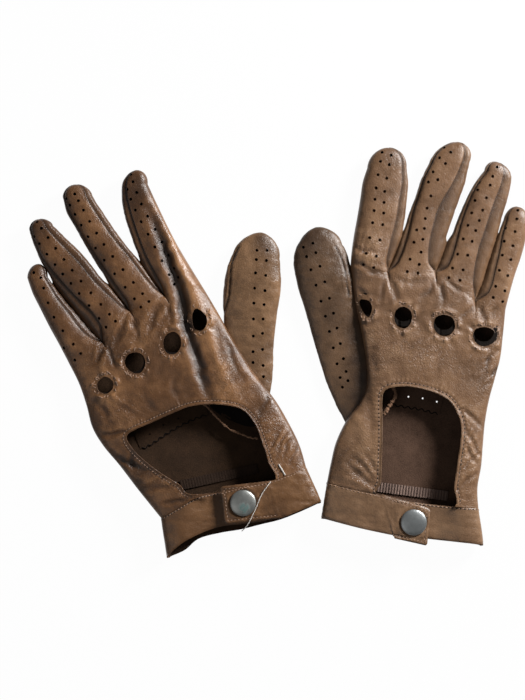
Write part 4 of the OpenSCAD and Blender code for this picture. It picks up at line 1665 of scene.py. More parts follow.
@dataclass
class Sites:
    """Places on a surface with their run and up vectors."""

    points: Array
    runs: Array
    ups: Array

    @classmethod
    def on(cls, tree: BVHTree, line: Array, closed: bool = False, sink: float = 0.0,
           across: bool = False) -> "Sites":
        """Finds the places under a line seen from above.

        Args:
            tree: The surface, in metres.
            line: The line, in millimetres.
            closed: Whether the line returns to its first point.
            sink: How far the places lie below the surface, in millimetres.
            across: Whether the run is across the line rather than along it.

        Returns:
            The sites.
        """
        points, ups, keep = [], [], []
        for i, (x, y) in enumerate(line):
            hit, normal = look_down(tree, x, y)
            if hit is None:
                continue
            keep.append(i)
            points.append(np.array(hit) / MM - np.array(normal) * sink)
            ups.append(np.array(normal))
        if not keep:
            return cls(np.zeros((0, 3)), np.zeros((0, 3)), np.zeros((0, 3)))
        if closed:
            runs = np.roll(line, -1, axis=0) - np.roll(line, 1, axis=0)
        elif len(line) > 1:
            runs = np.gradient(line, axis=0)
        else:
            runs = np.array([[1.0, 0.0]])
        if across:
            runs = np.stack([-runs[:, 1], runs[:, 0]], axis=1)
        runs = np.concatenate([runs, np.zeros((len(runs), 1))], axis=1)[keep]
        ups = np.array(ups)
        runs = runs - ups * (runs * ups).sum(axis=1, keepdims=True)
        return cls(np.array(points), units(runs), ups)

    def above(self, height: float) -> "Sites":
        """The sites that are higher than a height, in millimetres."""
        keep = self.points[:, 2] > height
        return Sites(self.points[keep], self.runs[keep], self.ups[keep])

    def some(self, seed: int, share: float, jitter: float) -> "Sites":
        """Some of the sites, each moved a little.

        Args:
            seed: Seed of the choice.
            share: How many are kept, from 0 to 1.
            jitter: How far they move and how much they turn.

        Returns:
            The sites kept.
        """
        random = np.random.default_rng(seed)
        keep = random.random(len(self.points)) < share
        points, runs, ups = self.points[keep], self.runs[keep], self.ups[keep]
        runs = runs + jitter * random.normal(size=runs.shape)
        runs -= ups * (runs * ups).sum(axis=1, keepdims=True)
        across = np.cross(runs, ups)
        points = points + across * jitter * 0.8 * random.normal(size=(len(points), 1))
        return Sites(points, units(runs), ups)

    @classmethod
    def together(cls, several: Sequence["Sites"]) -> "Sites":
        """Joins several lots of sites."""
        return cls(*(np.concatenate([getattr(s, key) for s in several])
                     for key in ("points", "runs", "ups")))


def surface(obj: Object) -> BVHTree:
    """Search tree over an object's mesh, in metres."""
    faces = [list(p.vertices) for p in obj.data.polygons]
    return BVHTree.FromPolygons(coordinates(obj.data).tolist(), faces)


# ---- the glove's sub-assemblies ----
@dataclass
class Part:
    """A sub-assembly of one glove."""

    pattern: Pattern
    finishes: Finishes
    stitches: Stitches

    @property
    def left(self) -> bool:
        """Whether it belongs to the left glove."""
        return self.pattern.side is Side.LEFT

    def own(self, name: str) -> str:
        """A name with the glove's side before it."""
        return f"{self.pattern.side.value}_{name}"

    def fit(self, obj: Object, slot: Slot, node: str | None = None, body: Body = Body.GLOVE) -> None:
        """Gives a finished piece its body, reports it, and hides the glove's node that it stands for.

        Args:
            obj: The piece.
            slot: The record's material slot; not used.
            node: Which of the glove's nodes it stands for, if any.
            body: The body that it moves with.
        """
        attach(obj, self.own(body.value))
        report(obj)
        if node is not None:
            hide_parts(self.own(node))


@dataclass
class Trank(Part):
    """Back and palm of the hand with its fingers, and the strips between them."""

    thumb: "Thumb"
    tip_stain: float = 0.35
    seam_stain: float = 0.8
    hole_rim_dark: float = 0.3

    def __post_init__(self) -> None:
        """Works out the forms."""
        self.form = HandForm(self.pattern)
        self.relief = Relief(self.pattern)

    def wear(self, obj: Object, height: Callable) -> None:
        """Stores how raised and crinkled the leather is at each point, and how dark its stains and painted
        shade make it.

        Args:
            obj: The piece of leather.
            height: Its height above the smooth skin at an array of points.
        """
        places = coordinates(obj.data) / MM
        store(obj, "relief", np.clip(height(places), -1.5, 1.5))
        store(obj, "stain", self.stain(places[:, :2]))
        store(obj, "crinkle", self.relief.crinkle(places[:, :2]))

    def stain(self, plan: Array) -> Array:
        """How dark the leather is: from handling, at its seams, round its knuckle holes, and under painted
        shadow.

        Args:
            plan: The places.

        Returns:
            A value from 0 to 1 for each place.
        """
        tips = [lengths(plan - f.tip) for f in self.pattern.fingers]
        total = np.zeros(len(plan))
        for tip in tips:
            total += self.tip_stain * bell(tip, 7)
        gap = np.full(len(plan), FAR)
        for finger in self.form.fingers:
            for side in (-1, 1):
                if not finger.folded(side):
                    line = finger.panel(Face.BACK)[:, 0 if side < 0 else -1, :2]
                    gap = np.minimum(gap, distance_to(plan, line[::3])[0])
        total += self.seam_stain * bell(gap, 0.65) * (1 - 0.8 * bell(np.min(tips, axis=0), 6))
        # Darker within about a millimetre of each knuckle hole's edge.
        for hole in self.relief.holes:
            total += self.hole_rim_dark * bell(distance_to(plan, looped(hole))[0], 0.8)
        return np.clip(total + smudged_and_shadowed(self.pattern, plan), 0, 1)

    def build(self) -> None:
        """Builds the back, the palm and the three strips."""
        self.build_back()
        self.build_palm()
        for i in range(len(self.form.fingers) - 1):
            name = self.own(f"gusset_{i + 1}")
            strip = place(name, self.form.fourchette(i).mesh(name, self.relief.soft))
            thicken(strip, LEATHER_T, self.finishes.gusset, self.finishes.suede, self.finishes.edge)
            soften(strip)
            self.wear(strip, self.relief.soft)
            self.fit(strip, Slot.TAN, f"fourchette_{i + 1}")

    def build_back(self) -> None:
        """Builds the back with its window, knuckle holes and punched rows."""
        f, name = self.finishes, self.own("back")
        self.back = place(name, self.form.skin(Face.BACK).mesh(name, self.relief.back))
        self.whole = surface(self.back)
        thicken(self.back, LEATHER_T, f.leather, f.suede, f.edge)
        lots = [punched(self.whole, finger.holes) for finger in self.pattern.fingers]
        # The punched holes' walls take the near-black hole finish, as painted shade.
        punch = self.stitches.punches(Sites.together(lots), f.hole)
        openings = [prism("opening form", counterclockwise(line), 5, 30, f.edge)
                    for line in (self.relief.window, *self.relief.holes)]
        cut(self.back, [punch, *openings])
        soften(self.back)
        self.wear(self.back, self.relief.back)
        self.fit(self.back, Slot.TAN, "back_panel")

    def build_palm(self) -> None:
        """Builds the palm with the hole for the thumb and its vents."""
        f, name = self.finishes, self.own("palm")
        self.palm = place(name, self.form.skin(Face.PALM).mesh(name))
        thicken(self.palm, LEATHER_T, f.leather, f.suede, f.edge)
        bottom = 0.3 if self.left else -2
        # The vents' walls take the near-black painted shade.
        cut(self.palm, [self.thumb.plug(), *vent_forms(self.pattern, bottom, f.black)])
        soften(self.palm)
        self.wear(self.palm, self.relief.soft)
        self.fit(self.palm, Slot.TAN, "palm_panel")


def punched(tree: BVHTree, rows: Sequence[tuple[int, Line]]) -> Sites:
    """Places of rows of holes.

    Args:
        tree: The surface, in metres.
        rows: How many holes each row has, and the line that it follows.

    Returns:
        The sites of all rows.
    """
    lines = [along(line, np.linspace(0, 1, count)) if len(line) > 1 else np.array(line, float)
             for count, line in rows]
    return Sites.together([Sites.on(tree, line) for line in lines])


def smudged_and_shadowed(pattern: Pattern, plan: Array) -> Array:
    """How dark the smudges and the painted shadows make the leather at each point."""
    return sum(share * bell(lengths(plan - np.array(centre)), radius)
               for centre, radius, share in pattern.smudges_and_shadows)


def counterclockwise(outline: Array) -> Array:
    """The outline with its inside on the left.

    Args:
        outline: The outline's points, in either order.

    Returns:
        The points, turned round where they ran clockwise.
    """
    x, y = outline.T
    turned = (x * np.roll(y, -1) - y * np.roll(x, -1)).sum() < 0
    return outline[::-1] if turned else outline


def vent_forms(pattern: Pattern, low: float, material: Material) -> list[Object]:
    """Upright rods that cut the palm's vents.

    Args:
        pattern: The glove's pattern.
        low: Height of their lower ends, in millimetres.
        material: The material that the cut faces take.

    Returns:
        One rod for each vent.
    """
    a = np.linspace(0, 2 * math.pi, 12, endpoint=False)
    circle = VENT_RADIUS * np.stack([np.cos(a), np.sin(a)], axis=1)
    return [prism("vent form", np.asarray(v, float) + circle, low, 5, material) for v in pattern.vents]


@dataclass
class Thumb(Part):
    """The thumb, a tube that is open where it is sewn into the palm."""

    steps: int = 64
    square: float = 2.4
    clearance: float = 0.15

    def cap(self, body: Array) -> tuple[Array, Array]:
        """Rows that round off the tip.

        Args:
            body: The rows of the tube behind the tip.

        Returns:
            The rows of the cap, and each one's share of the full height.
        """
        turn = np.radians(np.linspace(88, 0, TIP_ROWS + 1)[:-1])
        rows = np.repeat(body[:1], TIP_ROWS, axis=0)
        forward = np.sin(turn) ** (2 / THUMB_POINTED)
        rows[:, :2] += (np.array(self.pattern.thumb_tip) - body[0, :2]) * forward[:, None]
        rows[:, 2] *= np.cos(turn) ** (2 / THUMB_POINTED)
        return rows, np.maximum(0.05, np.cos(turn) ** 0.7)

    def grid(self, grown: float = 0.0) -> Array:
        """Rings of points from tip to root.

        Args:
            grown: How much wider and higher than the thumb they are, in millimetres.

        Returns:
            The grid.
        """
        body = even_points([(*s[0], *s[1:]) for s in self.pattern.thumb], ROW_STEP)
        axis = units(np.gradient(body[:, :2], axis=0))
        cap, low = self.cap(body)
        axis = np.concatenate([np.repeat(axis[:1], TIP_ROWS, axis=0), axis])
        rows = np.concatenate([cap, body])
        thin = np.concatenate([low, np.ones(len(body))])
        middle, draw = rows[:, :2], rows[:, 4]
        widths = np.maximum(0.4, rows[:, 2]) + grown
        share = np.clip(rows[:, 3], 0, 1)
        heights = mix(THUMB_H, THUMB_ROOT_H, share) / 2
        a = np.linspace(0, 2 * math.pi, self.steps, endpoint=False)
        x = np.sign(np.cos(a)) * np.abs(np.cos(a)) ** (2 / self.square)
        z = np.sign(np.sin(a)) * np.abs(np.sin(a)) ** (2 / self.square)
        rings = []
        for i in range(len(rows)):
            up = heights[i] + z * (heights[i] * thin[i] + grown)
            side = np.array([-axis[i, 1], axis[i, 0]])
            back = (draw[i] * np.clip(up, 0, None) / heights[i] / 2
                    - self.pattern.thumb_lean * share[i] * x)
            plan = middle[i] + np.outer(x * widths[i], side) - np.outer(back, axis[i])
            rings.append(np.concatenate([plan, up[:, None]], axis=1))
        return np.array(rings)

    def lid(self, ring: Array) -> Array:
        """Rows that close a ring towards its middle."""
        return np.stack([np.repeat(ring.mean(axis=0)[None], self.steps, axis=0), ring])

    def plug(self) -> Object:
        """Closed form of the thumb, to cut its hole in the palm.

        Returns:
            The form.
        """
        grid = self.grid(self.clearance)
        skin = Sheet()
        skin.add(grid, closed=True)
        skin.add(self.lid(grid[0]), closed=True)
        skin.add(self.lid(grid[-1])[::-1], closed=True)
        plug = place("thumb form", skin.mesh("thumb form"))
        plug.data.materials.append(self.finishes.edge)
        return plug

    def build(self) -> None:
        """Builds the thumb with its punched rows."""
        f, name = self.finishes, self.own("thumb_tube")
        grid = self.grid()
        skin = Sheet()
        skin.add(grid, closed=True)
        skin.add(self.lid(grid[0]), closed=True)
        self.tube = place(name, skin.mesh(name, self.height))
        self.whole = surface(self.tube)
        sites = punched(self.whole, self.pattern.thumb_holes)
        # The thumb's inner face is painted near-black, as the shade inside it.
        thicken(self.tube, LEATHER_T, f.thumb, f.black, f.edge)
        # The punched holes' walls take the near-black hole finish, as painted shade.
        cut(self.tube, [self.stitches.punches(sites, f.hole)])
        soften(self.tube)
        places = coordinates(self.tube.data) / MM
        store(self.tube, "relief", np.clip(self.height(places), -1.5, 1.5))
        tip = lengths(places[:, :2] - np.array(self.pattern.thumb_tip))
        # The thumb darkens at its tip and its seam, and under the pattern's painted shadows beside the
        # hand.
        dark = (0.25 * bell(tip, 8) + 0.5 * bell(self.from_seam(places), 0.5)
                + smudged_and_shadowed(self.pattern, places[:, :2]))
        store(self.tube, "stain", np.clip(dark, 0, 1))
        self.fit(self.tube, Slot.TAN, "thumb")

    def from_seam(self, places: Array) -> Array:
        """Distance of each place from the thumb's seam, seen from above."""
        return distance_to(places[:, :2], even_points(self.pattern.thumb_seam, 2))[0]

    def height(self, places: Array) -> Array:
        """Height of the wrinkles and of the seam's groove above the smooth tube.

        Args:
            places: The places, in millimetres.

        Returns:
            One height for each.
        """
        noise = Noise(self.pattern.seed + 5)
        seam = self.from_seam(places)
        top = ease((places[:, 2] - 3) / 3)
        return (0.3 * noise.rough(places, 10) + 0.12 * noise.creases(places, 2.6)
                - top * 0.5 * bell(seam, 0.5) + top * 0.25 * bell(seam, 0.7, 1.3))


@dataclass
class Cuff(Part):
    """The doubled wristband, with the closing strap that one of its ends runs out into."""

    rows: int = 30
    strap_steps: int = 45
    corner: float = 2.4
    fold_width: float = 7.0
    cap_radius: float = 7.75
    cap_rise: float = 0.95

    def __post_init__(self) -> None:
        """Sets up the noise and the edges."""
        p = self.pattern
        self.noise = Noise(p.seed + 9)
        self.home = 1.0 if p.wrap[0] > 0.5 else 0.0
        self.seam = even_points(p.cuff_seam, 2)
        self.hem = even_points(p.cuff_back, 2)

    def station(self, u: Array, face: Face, drop: Array | float = 0.0) -> Array:
        """Lines of points down the band.

        Args:
            u: Shares across the back or the palm.
            face: Which of the two.
            drop: How far each has sunk to the underlap, from 0 to 1.

        Returns:
            One line of points for each share.
        """
        p = self.pattern
        z = level(face, arch(2 * u - 1, HAND_SQUARE))
        top = mix(HAND_H / 2 * (1 + z), UNDERLAP_H, drop)
        high, low = along(p.cuff_seam, u), along(p.cuff_back if face is Face.BACK else p.cuff_palm, u)
        t = (spread(self.rows) + 1) / 2
        plan = mix(high[:, None], low[:, None], t[None, :, None])
        return np.concatenate([plan, np.repeat(top[:, None, None], len(t), axis=1)], axis=-1)

    def side_shares(self, side: float, inner: float, count: int = 44) -> Array:
        """Shares from the side of the wrist to a place on the back, closer together at the side."""
        return side + (inner - side) * np.linspace(0, 1, count) ** 2

    def build(self) -> None:
        """Builds the band round the wrist, the strap and the snap."""
        self.build_band()
        self.build_strap()
        self.build_snap()

    def build_band(self) -> None:
        """Builds the band, from the palm round one side to the end of the underlap."""
        _, far_end, level_at, free_end = self.pattern.wrap
        round_side = (spread(130) + 1) / 2
        palm = round_side[::-1] if self.home else round_side
        far = self.side_shares(1 - self.home, far_end)
        sink = np.linspace(0, 1, 16)
        lots = [self.station(palm, Face.PALM), self.station(far, Face.BACK)[1:],
                self.station(mix(far_end, level_at, sink), Face.BACK, ease(sink))[1:],
                self.station(mix(level_at, free_end, np.linspace(0, 1, 24)), Face.BACK, 1.0)[1:]]
        self.band = self.piece("cuff", np.concatenate(lots), self.height, self.home < 0.5)
        self.fit(self.band, Slot.TAN, "cuff_band")

    def build_strap(self) -> None:
        """Builds the strap and the part of the band next to it as one piece, and hides the strap's node."""
        near = self.station(self.side_shares(self.home, self.pattern.wrap[0]), Face.BACK)
        (r0, r1), (e0, e1) = (np.array(line, float) for line in self.pattern.strap)
        t = (spread(self.rows) + 1) / 2
        free = []
        length = np.linalg.norm(e0 - r0)
        for s in np.linspace(0, 1, self.strap_steps + 1)[1:]:
            a, b = mix(r0, e0, s), mix(r1, e1, s)
            rest = (1 - s) * length
            pinch = self.corner - math.sqrt(max(0, self.corner**2 - max(0, self.corner - rest) ** 2))
            pinch = 0.6 * pinch / np.linalg.norm(b - a)
            free.append(mix(a, b, np.clip(t, pinch, 1 - pinch)[:, None]))
        free = np.concatenate([free, np.full((self.strap_steps, self.rows + 1, 1), HAND_H)], axis=-1)
        self.outline = np.concatenate([free[:, 0, :2], free[-1, :, :2], free[::-1, -1, :2]])
        self.strap = self.piece("closing_strap", np.concatenate([near, free]), self.strap_height,
                                self.home > 0.5)
        middle, run = (r0 + r1) / 2, (e0 + e1 - r0 - r1) / np.linalg.norm(e0 + e1 - r0 - r1)
        half = self.fold_width / 2
        self.fold = [(*((middle + run * k) * MM), HAND_H * MM) for k in (-half, half)]
        self.bend(self.strap)
        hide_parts(self.own("strap"))

    def bend(self, obj: Object) -> None:
        """Bakes the placement of a piece that runs from the band onto the strap into its mesh, and logs it.

        Args:
            obj: The piece.
        """
        self.own("glove")
        self.own("strap")
        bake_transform(obj)
        report(obj)

    def piece(self, name: str, grid: Array, height: Callable, turned: bool) -> Object:
        """One doubled piece of leather.

        Args:
            name: Its name, without the glove's side.
            grid: Its points.
            height: Its height above the grid at an array of points.
            turned: Whether the grid runs backwards, so that its faces are turned over.

        Returns:
            The piece.
        """
        f, name = self.finishes, self.own(name)
        skin = Sheet()
        skin.add(grid, turned=turned)
        obj = place(name, skin.mesh(name, height))
        thicken(obj, BAND_T, f.band, f.suede, f.edge)
        soften(obj)
        store(obj, "relief", np.clip(height(coordinates(obj.data) / MM), -1, 1))
        store(obj, "stain", np.zeros(len(obj.data.vertices)))
        return obj

    def height(self, places: Array) -> Array:
        """Height of the folds and of the turned edges of the band.

        Args:
            places: The places, in millimetres.

        Returns:
            One height for each.
        """
        plan = places[:, :2]
        top, edge = distance_to(plan, self.seam)[0], distance_to(plan, self.hem)[0]
        back = ease((places[:, 2] - HAND_H * 0.55) / 3)
        slanted = places @ np.array([[0.25, 0.1, 0], [-0.1, 1.0, 0], [0, 0, 0.6]])
        return (back * (0.25 * self.noise.rough(places, 12) + 0.13 * self.noise.creases(slanted, 2.6))
                - back * 0.3 * bell(top, 0.6) - back * 0.4 * bell(edge, 0.8))

    def strap_height(self, places: Array) -> Array:
        """Height of the strap's wrinkles, dished round the cap and rounded at the edge.

        Args:
            places: The places, in millimetres.

        Returns:
            One height for each.
        """
        plan = places[:, :2]
        edge = distance_to(plan, self.outline)[0]
        cap = lengths(plan - np.array(self.pattern.snap))
        return (self.height(places) + 0.12 * self.noise.creases(places + 50, 2.2)
                - 0.5 * bell(edge, 0.6) - 0.3 * bell(edge, 0.45, 1.9)
                + 0.3 * bell(cap, 1.2, 9.6) - 0.25 * ease((9 - cap) / 1.5))

    def build_snap(self) -> None:
        """Builds the cap and finishes the other parts of the snap."""
        metal, r, rise = self.finishes.metal, self.cap_radius, self.cap_rise
        dome = [(r * math.cos(a), rise + (CAP_H - rise) * math.sin(a))
                for a in np.radians(np.linspace(4, 86, 16))]
        profile = [(0.01, -1.6), (1.6, -1.6), (1.6, -0.1), (r - 0.9, 0.0), (r - 0.25, 0.15), (r, 0.5),
                   (r - 0.05, 0.8), *dome, (0.01, CAP_H)]
        low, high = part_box(self.own("snap_cap"))
        middle = ((low[0] + high[0]) / 2 / MM, (low[1] + high[1]) / 2 / MM, HAND_H)
        cap = lathe(self.own("cap"), profile, middle)
        spot = lengths(coordinates(cap.data)[:, :2] / MM - np.add(middle[:2], (0.6, -3)))
        store(cap, "verdigris", ease((4.2 - spot) / 2) if self.left else 0 * spot)
        paint(cap, metal)
        self.fit(cap, Slot.STEEL, "snap_cap", Body.STRAP)
        for part in ("snap_socket", "snap_stud", "snap_post"):
            paint(frame["nodes"][self.own(part)], metal)


@dataclass
class Linings(Part):
    """Pieces that show through the window and the knuckle holes."""

    patch_width: float = 12
    pink_pitch: float = 4.2
    pink_depth: float = 0.65
    tape_half: float = 2.9
    tape_t: float = 0.3

    def build(self) -> None:
        """Builds the palm's patch and the tape, and paints the knuckle facings near-black as shade."""
        self.build_patch()
        # The knuckle facings are painted near-black, as the shade inside the holes.
        paint(frame["nodes"][self.own("knuckle_facings")], self.finishes.black)
        self.build_tape()

    def build_patch(self) -> None:
        """Builds the reinforcement of the palm, with its pinked edge and its vents."""
        f, step = self.finishes, 0.5
        edge = even_points(self.pattern.scallop, step)
        out = off_line(edge, self.patch_width)
        run = np.linspace(0, 1, len(edge))
        waves = np.sin(run * len(edge) * step / self.pink_pitch * 2 * math.pi)
        edge = edge + self.pink_depth * waves[:, None] * (out - edge) / self.patch_width
        top = LEATHER_T + LINING_T
        line = np.concatenate([edge, np.full((len(edge), 1), top)], axis=1)
        # A near-black cord along the pinked edge paints the shadow line under it.
        self.fit(tube(self.own("pinked_edge"), line[2:-2], 0.32, f.black, 0.6), Slot.DARK)
        # The patch's upright sides and its vents' walls are painted near-black, as shade.
        patch = prism(self.own("patch"), counterclockwise(np.concatenate([edge, out[::-1]])),
                      LEATHER_T - 0.1, top, f.suede, f.black)
        cut(patch, vent_forms(self.pattern, -2, f.black))
        self.fit(patch, Slot.DARK, "palm_patch")

    def build_tape(self) -> None:
        """Builds the ribbed elastic tape across the wrist."""
        name, step = self.own("wrist_tape"), 0.3
        middle = even_points(self.pattern.tape, step)
        rows = [off_line(middle, d) for d in np.linspace(-self.tape_half, self.tape_half, 9)]
        ribs = (0.1 if self.left else 0.5) * np.sin(np.arange(len(middle)) * step / TAPE_RIB * 2 * math.pi)
        top = (LEATHER_T + 0.6 + 0.5 * ribs)[:, None]
        skin = Sheet()
        skin.add(np.array([np.concatenate([r, top], axis=1) for r in rows])[::-1])
        tape = place(name, skin.mesh(name))
        thicken(tape, self.tape_t, self.finishes.tape)
        self.fit(tape, Slot.ELASTIC, "wrist_elastic")


def tube(name: str, path: Array, radius: float | Array, material: Material, flat: float = 1.0) -> Object:
    """Round or flattened cord along a path.

    Args:
        name: The object's name.
        path: Its middle line, in millimetres.
        radius: Its radius in millimetres, one for all points or one for each.
        material: Its material.
        flat: Height as a share of its width.

    Returns:
        The object.
    """
    run = units(np.gradient(path, axis=0))
    side = units(np.cross(run, (0, 0, 1)))
    up = np.cross(side, run)
    turn = np.linspace(0, 2 * math.pi, TUBE_SIDES + 1)[:-1]
    sizes = np.broadcast_to(radius, len(path))
    rings = np.array([p + r * (np.outer(np.cos(turn), s) + flat * np.outer(np.sin(turn), u))
                      for p, s, u, r in zip(path, side, up, sizes)])
    ends = [np.repeat(path[i][None, None], TUBE_SIDES, axis=1) for i in (0, -1)]
    skin = Sheet()
    skin.add(np.concatenate([ends[0], rings, ends[1]]), closed=True)
    obj = place(name, skin.mesh(name))
    work = bmesh.new()
    work.from_mesh(obj.data)
    bmesh.ops.recalc_face_normals(work, faces=work.faces)
    work.to_mesh(obj.data)
    work.free()
    paint(obj, material)
    obj.data.shade_smooth()
    return obj


@dataclass
class Trimmings(Part):
    """Raw edges, and on the left glove what is left of a tag fastener."""

    trank: Trank
    cuff: Cuff
    fray: float = 0.35

    def build(self) -> None:
        """Builds the trimmings of the glove."""
        self.build_raw_edge()
        self.build_window_edge()
        if self.left:
            self.build_tag()

    def build_raw_edge(self) -> None:
        """Builds the frayed edge of leather over the thumb's root."""
        noise = Noise(self.pattern.seed + 31)
        rim = even_points(self.pattern.thumb_edge, 0.4)
        fuzz = np.stack([noise.at(rim * 3, 2.0), noise.at(rim * 3 + 90, 2.0)], axis=1)
        path = np.concatenate([rim + self.fray * fuzz, np.full((len(rim), 1), THUMB_ROOT_H + 0.4)], axis=1)
        thick = (0.6 if self.left else 1.1) + 0.4 * noise.at(rim * 2 + 40, 1.5)
        self.fit(tube(self.own("raw_edge"), path, thick, self.finishes.edge, 0.7), Slot.TAN)

    def build_window_edge(self) -> None:
        """Builds the bead of turned leather round the window, down to the cuff."""
        outline = off_line(counterclockwise(self.trank.relief.window), -0.35, closed=True)
        bead = Sites.on(self.trank.whole, outline).points
        bead = bead[distance_to(bead[:, :2], self.cuff.seam)[0] > 1.2]
        bead = np.roll(bead, -gap_in(bead), axis=0) - (0, 0, 0.3)
        # The bead takes the gusset leather, which is painted darker as shade.
        self.fit(tube(self.own("window_edge"), bead, 0.42, self.finishes.gusset), Slot.TAN)

    def build_tag(self) -> None:
        """Leaves the nylon bar and the filament of a cut tag fastener."""
        nylon = self.finishes.nylon
        spots = Sites.on(self.trank.whole, even_points([(0.6, -67.8), (6, -76.8)], 0.6), sink=-0.35).points
        self.fit(tube(self.own("tag_bar"), spots, 0.4, nylon), Slot.TAN)
        path = even_points([(-4.2, -78, 16.3), (-9.3, -85.2, 17.2), (-13.5, -94.8, 17.4),
                            (-17.7, -103.2, 16.8), (-21.3, -107.4, 14.6)], 0.5)
        filament = tube(self.own("tag_filament"), path, 0.25, nylon)
        self.fit(filament, Slot.TAN, body=Body.STRAP)


@dataclass
class Seams(Part):
    """Every visible row of thread and of needle holes on one glove."""

    trank: Trank
    cuff: Cuff
    thumb: Thumb

    def build(self) -> None:
        """Sews the window, the knuckle holes, the cuff, the strap, the fingers and the thumb."""
        self.sew_window()
        self.sew_knuckles()
        self.sew_cuff()
        self.sew_fingers()
        sites = Sites.on(self.thumb.whole, even_points(self.pattern.thumb_seam, 1.4), sink=0.1)
        self.row("thumb_stitches", sites, (1.1, 0.5, 0.4), self.finishes.hole)

    def row(self, name: str, sites: Sites, size: Sequence[float], material: Material) -> None:
        """Sews one row that belongs to the glove."""
        self.fit(self.stitches.sew(self.own(name), sites, size, material), Slot.TAN)

    def sew_window(self) -> None:
        """Sews round the window, down to the cuff, with a needle hole between every two stitches."""
        p = self.pattern
        line = off_line(counterclockwise(self.trank.relief.window), -2.1, closed=True)
        keep = line[distance_to(line, even_points(p.cuff_seam, 2))[0] > 2.5]
        line = even_points(np.roll(keep, -gap_in(keep), axis=0), p.stitch_pitch, curved=False)
        self.row("window_stitches", Sites.on(self.trank.whole, line, sink=0.05),
                 (p.stitch_pitch * 0.7, 0.6, 0.5), self.finishes.thread)
        # Near-black marks between the stitches paint the shade of the needle holes.
        self.row("window_needle_holes", Sites.on(self.trank.whole, (line[1:] + line[:-1]) / 2, sink=-0.05),
                 (0.7, 0.7, 0.35) if self.left else (1.1, 0.75, 0.35), self.finishes.hole)

    def sew_knuckles(self) -> None:
        """Sews round the knuckle holes, with loose loops across and along the edge."""
        loops = []
        for i, hole in enumerate(self.trank.relief.holes):
            for out, across in ((-1.5, True), (-2.4, False)):
                line = even_points(off_line(counterclockwise(hole), out, closed=True), 1.5, closed=True)
                sites = Sites.on(self.trank.whole, line, closed=True, across=across)
                loops.append(sites.some(self.pattern.seed + i, 0.5, 0.35))
        self.row("knuckle_stitches", Sites.together(loops), (2.0, 0.6, 0.6), self.finishes.thread)

    def sew_cuff(self) -> None:
        """Sews the band to the hand, and goes round the strap."""
        f, pitch = self.finishes, self.pattern.stitch_pitch
        band, strap = surface(self.cuff.band), surface(self.cuff.strap)
        seam = even_points(off_line(even_points(self.pattern.cuff_seam, 1.0), -0.9), pitch, curved=False)
        covered = np.array([look_down(strap, *spot)[0] is not None for spot in seam])
        sites = Sites.on(band, seam[~covered], sink=0.05).above(HAND_H / 2)
        self.row("cuff_stitches", sites, (pitch * 0.66, 0.7, 0.55), f.thread)
        # Near-black marks between the stitches paint the shade of the needle holes.
        between = (seam[1:] + seam[:-1]) / 2
        sites = Sites.on(band, between[~covered[1:]], sink=-0.05).above(HAND_H / 2)
        self.row("cuff_needle_holes", sites, (1.0, 0.75, 0.35), f.hole)
        edge = off_line(even_points(self.cuff.outline, 0.8, curved=False), 1.9 if self.left else -1.9)
        lots = [Sites.on(strap, even_points(edge[3:-3], 2.2, curved=False), sink=0.02),
                Sites.on(strap, seam[covered], sink=0.02)]
        name = self.own("strap_stitches")
        self.cuff.bend(self.stitches.sew(name, Sites.together(lots), (1.4, 0.6, 0.5), f.thread))

    def sew_fingers(self) -> None:
        """Sews the gussets to the back."""
        lots = []
        for finger in self.trank.form.fingers:
            grid = finger.panel(Face.BACK)
            for way in (-1, 1):
                if not finger.folded(way):
                    line = even_points(grid[4:-3, 1 if way < 0 else -2, :2], 1.3, curved=False)
                    lots.append(Sites.on(self.trank.whole, line, sink=0.1))
        self.row("finger_stitches", Sites.together(lots), (1.0, 0.5, 0.4), self.finishes.hole)


def gap_in(points: Array) -> int:
    """Index after the longest step of a closed row of points."""
    steps = lengths(np.roll(points, -1, axis=0) - points)
    return int(np.argmax(steps)) + 1


@dataclass
class Glove(Part):
    """One glove with all its sub-assemblies."""

    def build(self) -> None:
        """Builds the glove."""
        shared = (self.pattern, self.finishes, self.stitches)
        thumb = Thumb(*shared)
        trank = Trank(*shared, thumb)
        trank.build()
        thumb.build()
        cuff = Cuff(*shared)
        cuff.build()
        Linings(*shared).build()
        Trimmings(*shared, trank, cuff).build()
        Seams(*shared, trank, cuff, thumb).build()


# ---- studio ----
@dataclass(frozen=True)
class Lamp:
    """A square lamp that faces the gloves."""

    spot: tuple[float, float, float]
    size: float
    power: float


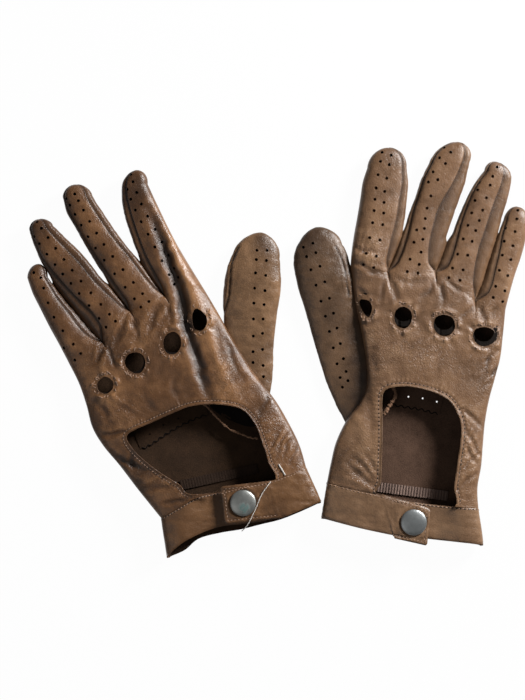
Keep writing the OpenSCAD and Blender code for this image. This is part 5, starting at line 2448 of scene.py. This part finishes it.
@dataclass
class Studio:
    """Camera, floor, lamps and world."""

    middle: Point = (-0.009, 0.0)
    distance: float = 1.2
    view_height: float = 0.42
    film: float = 36.0
    lamps: Sequence[Lamp] = (Lamp((0.65, 0.5, 0.42), 0.25, 21.0), Lamp((-0.6, -0.5, 0.9), 0.8, 2.0))
    sky: float = 0.115
    floor_half: float = 4.0
    floor_tone: float = 0.6
    floor_glow: float = 0.975

    def build(self) -> None:
        """Builds everything."""
        bpy.context.scene.view_settings.view_transform = "Standard"
        self.build_camera()
        for i, lamp in enumerate(self.lamps):
            self.hang(f"lamp {i + 1}", lamp)
        world = bpy.data.worlds.new("studio")
        world.use_nodes = True
        background = world.node_tree.nodes["Background"]
        background.inputs["Color"].default_value = (1, 1, 1, 1)
        background.inputs["Strength"].default_value = self.sky
        bpy.context.scene.world = world
        self.build_floor()

    def build_camera(self) -> None:
        """Sets the camera over the gloves, looking straight down."""
        camera = bpy.data.cameras.new("camera")
        camera.sensor_width = self.film
        camera.lens = self.film * self.distance / self.view_height
        camera.clip_end = 20
        eye = bpy.data.objects.new("camera", camera)
        eye.location = (*self.middle, self.distance)
        bpy.context.scene.collection.objects.link(eye)
        bpy.context.scene.camera = eye

    def hang(self, name: str, lamp: Lamp) -> None:
        """Hangs one lamp, turned to the middle of the floor.

        Args:
            name: Its name.
            lamp: Its place, size and power.
        """
        light = bpy.data.lights.new(name, "AREA")
        light.size = lamp.size
        light.energy = lamp.power
        holder = bpy.data.objects.new(light.name, light)
        holder.location = lamp.spot
        holder.rotation_euler = (-Vector(lamp.spot)).to_track_quat("-Z", "Y").to_euler()
        bpy.context.scene.collection.objects.link(holder)

    def build_floor(self) -> None:
        """Lays a pale floor that looks white and still takes the gloves' shadow."""
        half, tone = self.floor_half, self.floor_tone
        mesh = bpy.data.meshes.new("floor")
        mesh.from_pydata([(-half, -half, 0), (half, -half, 0), (half, half, 0), (-half, half, 0)], [],
                         [(0, 1, 2, 3)])
        obj = place("floor", mesh)
        material = bpy.data.materials.new("floor")
        material.use_nodes = True
        tree = material.node_tree
        tree.nodes.clear()
        diffuse = tree.nodes.new("ShaderNodeBsdfDiffuse")
        diffuse.inputs["Color"].default_value = (tone, tone, tone, 1)
        glow = tree.nodes.new("ShaderNodeEmission")
        glow.inputs["Color"].default_value = (1, 1, 1, 1)
        rays = tree.nodes.new("ShaderNodeLightPath")
        seen = Wire(tree, rays.outputs["Is Camera Ray"]) + Wire(tree, rays.outputs["Is Glossy Ray"])
        blend = tree.nodes.new("ShaderNodeMixShader")
        join(tree, seen.clamp() * self.floor_glow, blend.inputs[0])
        tree.links.new(diffuse.outputs[0], blend.inputs[1])
        tree.links.new(glow.outputs[0], blend.inputs[2])
        end = tree.nodes.new("ShaderNodeOutputMaterial")
        tree.links.new(blend.outputs[0], end.inputs["Surface"])
        paint(obj, material)


def main() -> None:
    """Builds the studio and the pair of gloves, and logs the faces of each piece."""
    logging.basicConfig(level=logging.INFO, format="%(name)s: %(message)s")
    Studio().build()
    stitches = Stitches()
    for pattern in (LEFT, RIGHT):
        Glove(pattern, Finishes.build(pattern.side), stitches).build()


if __name__ == "__main__":
    main()
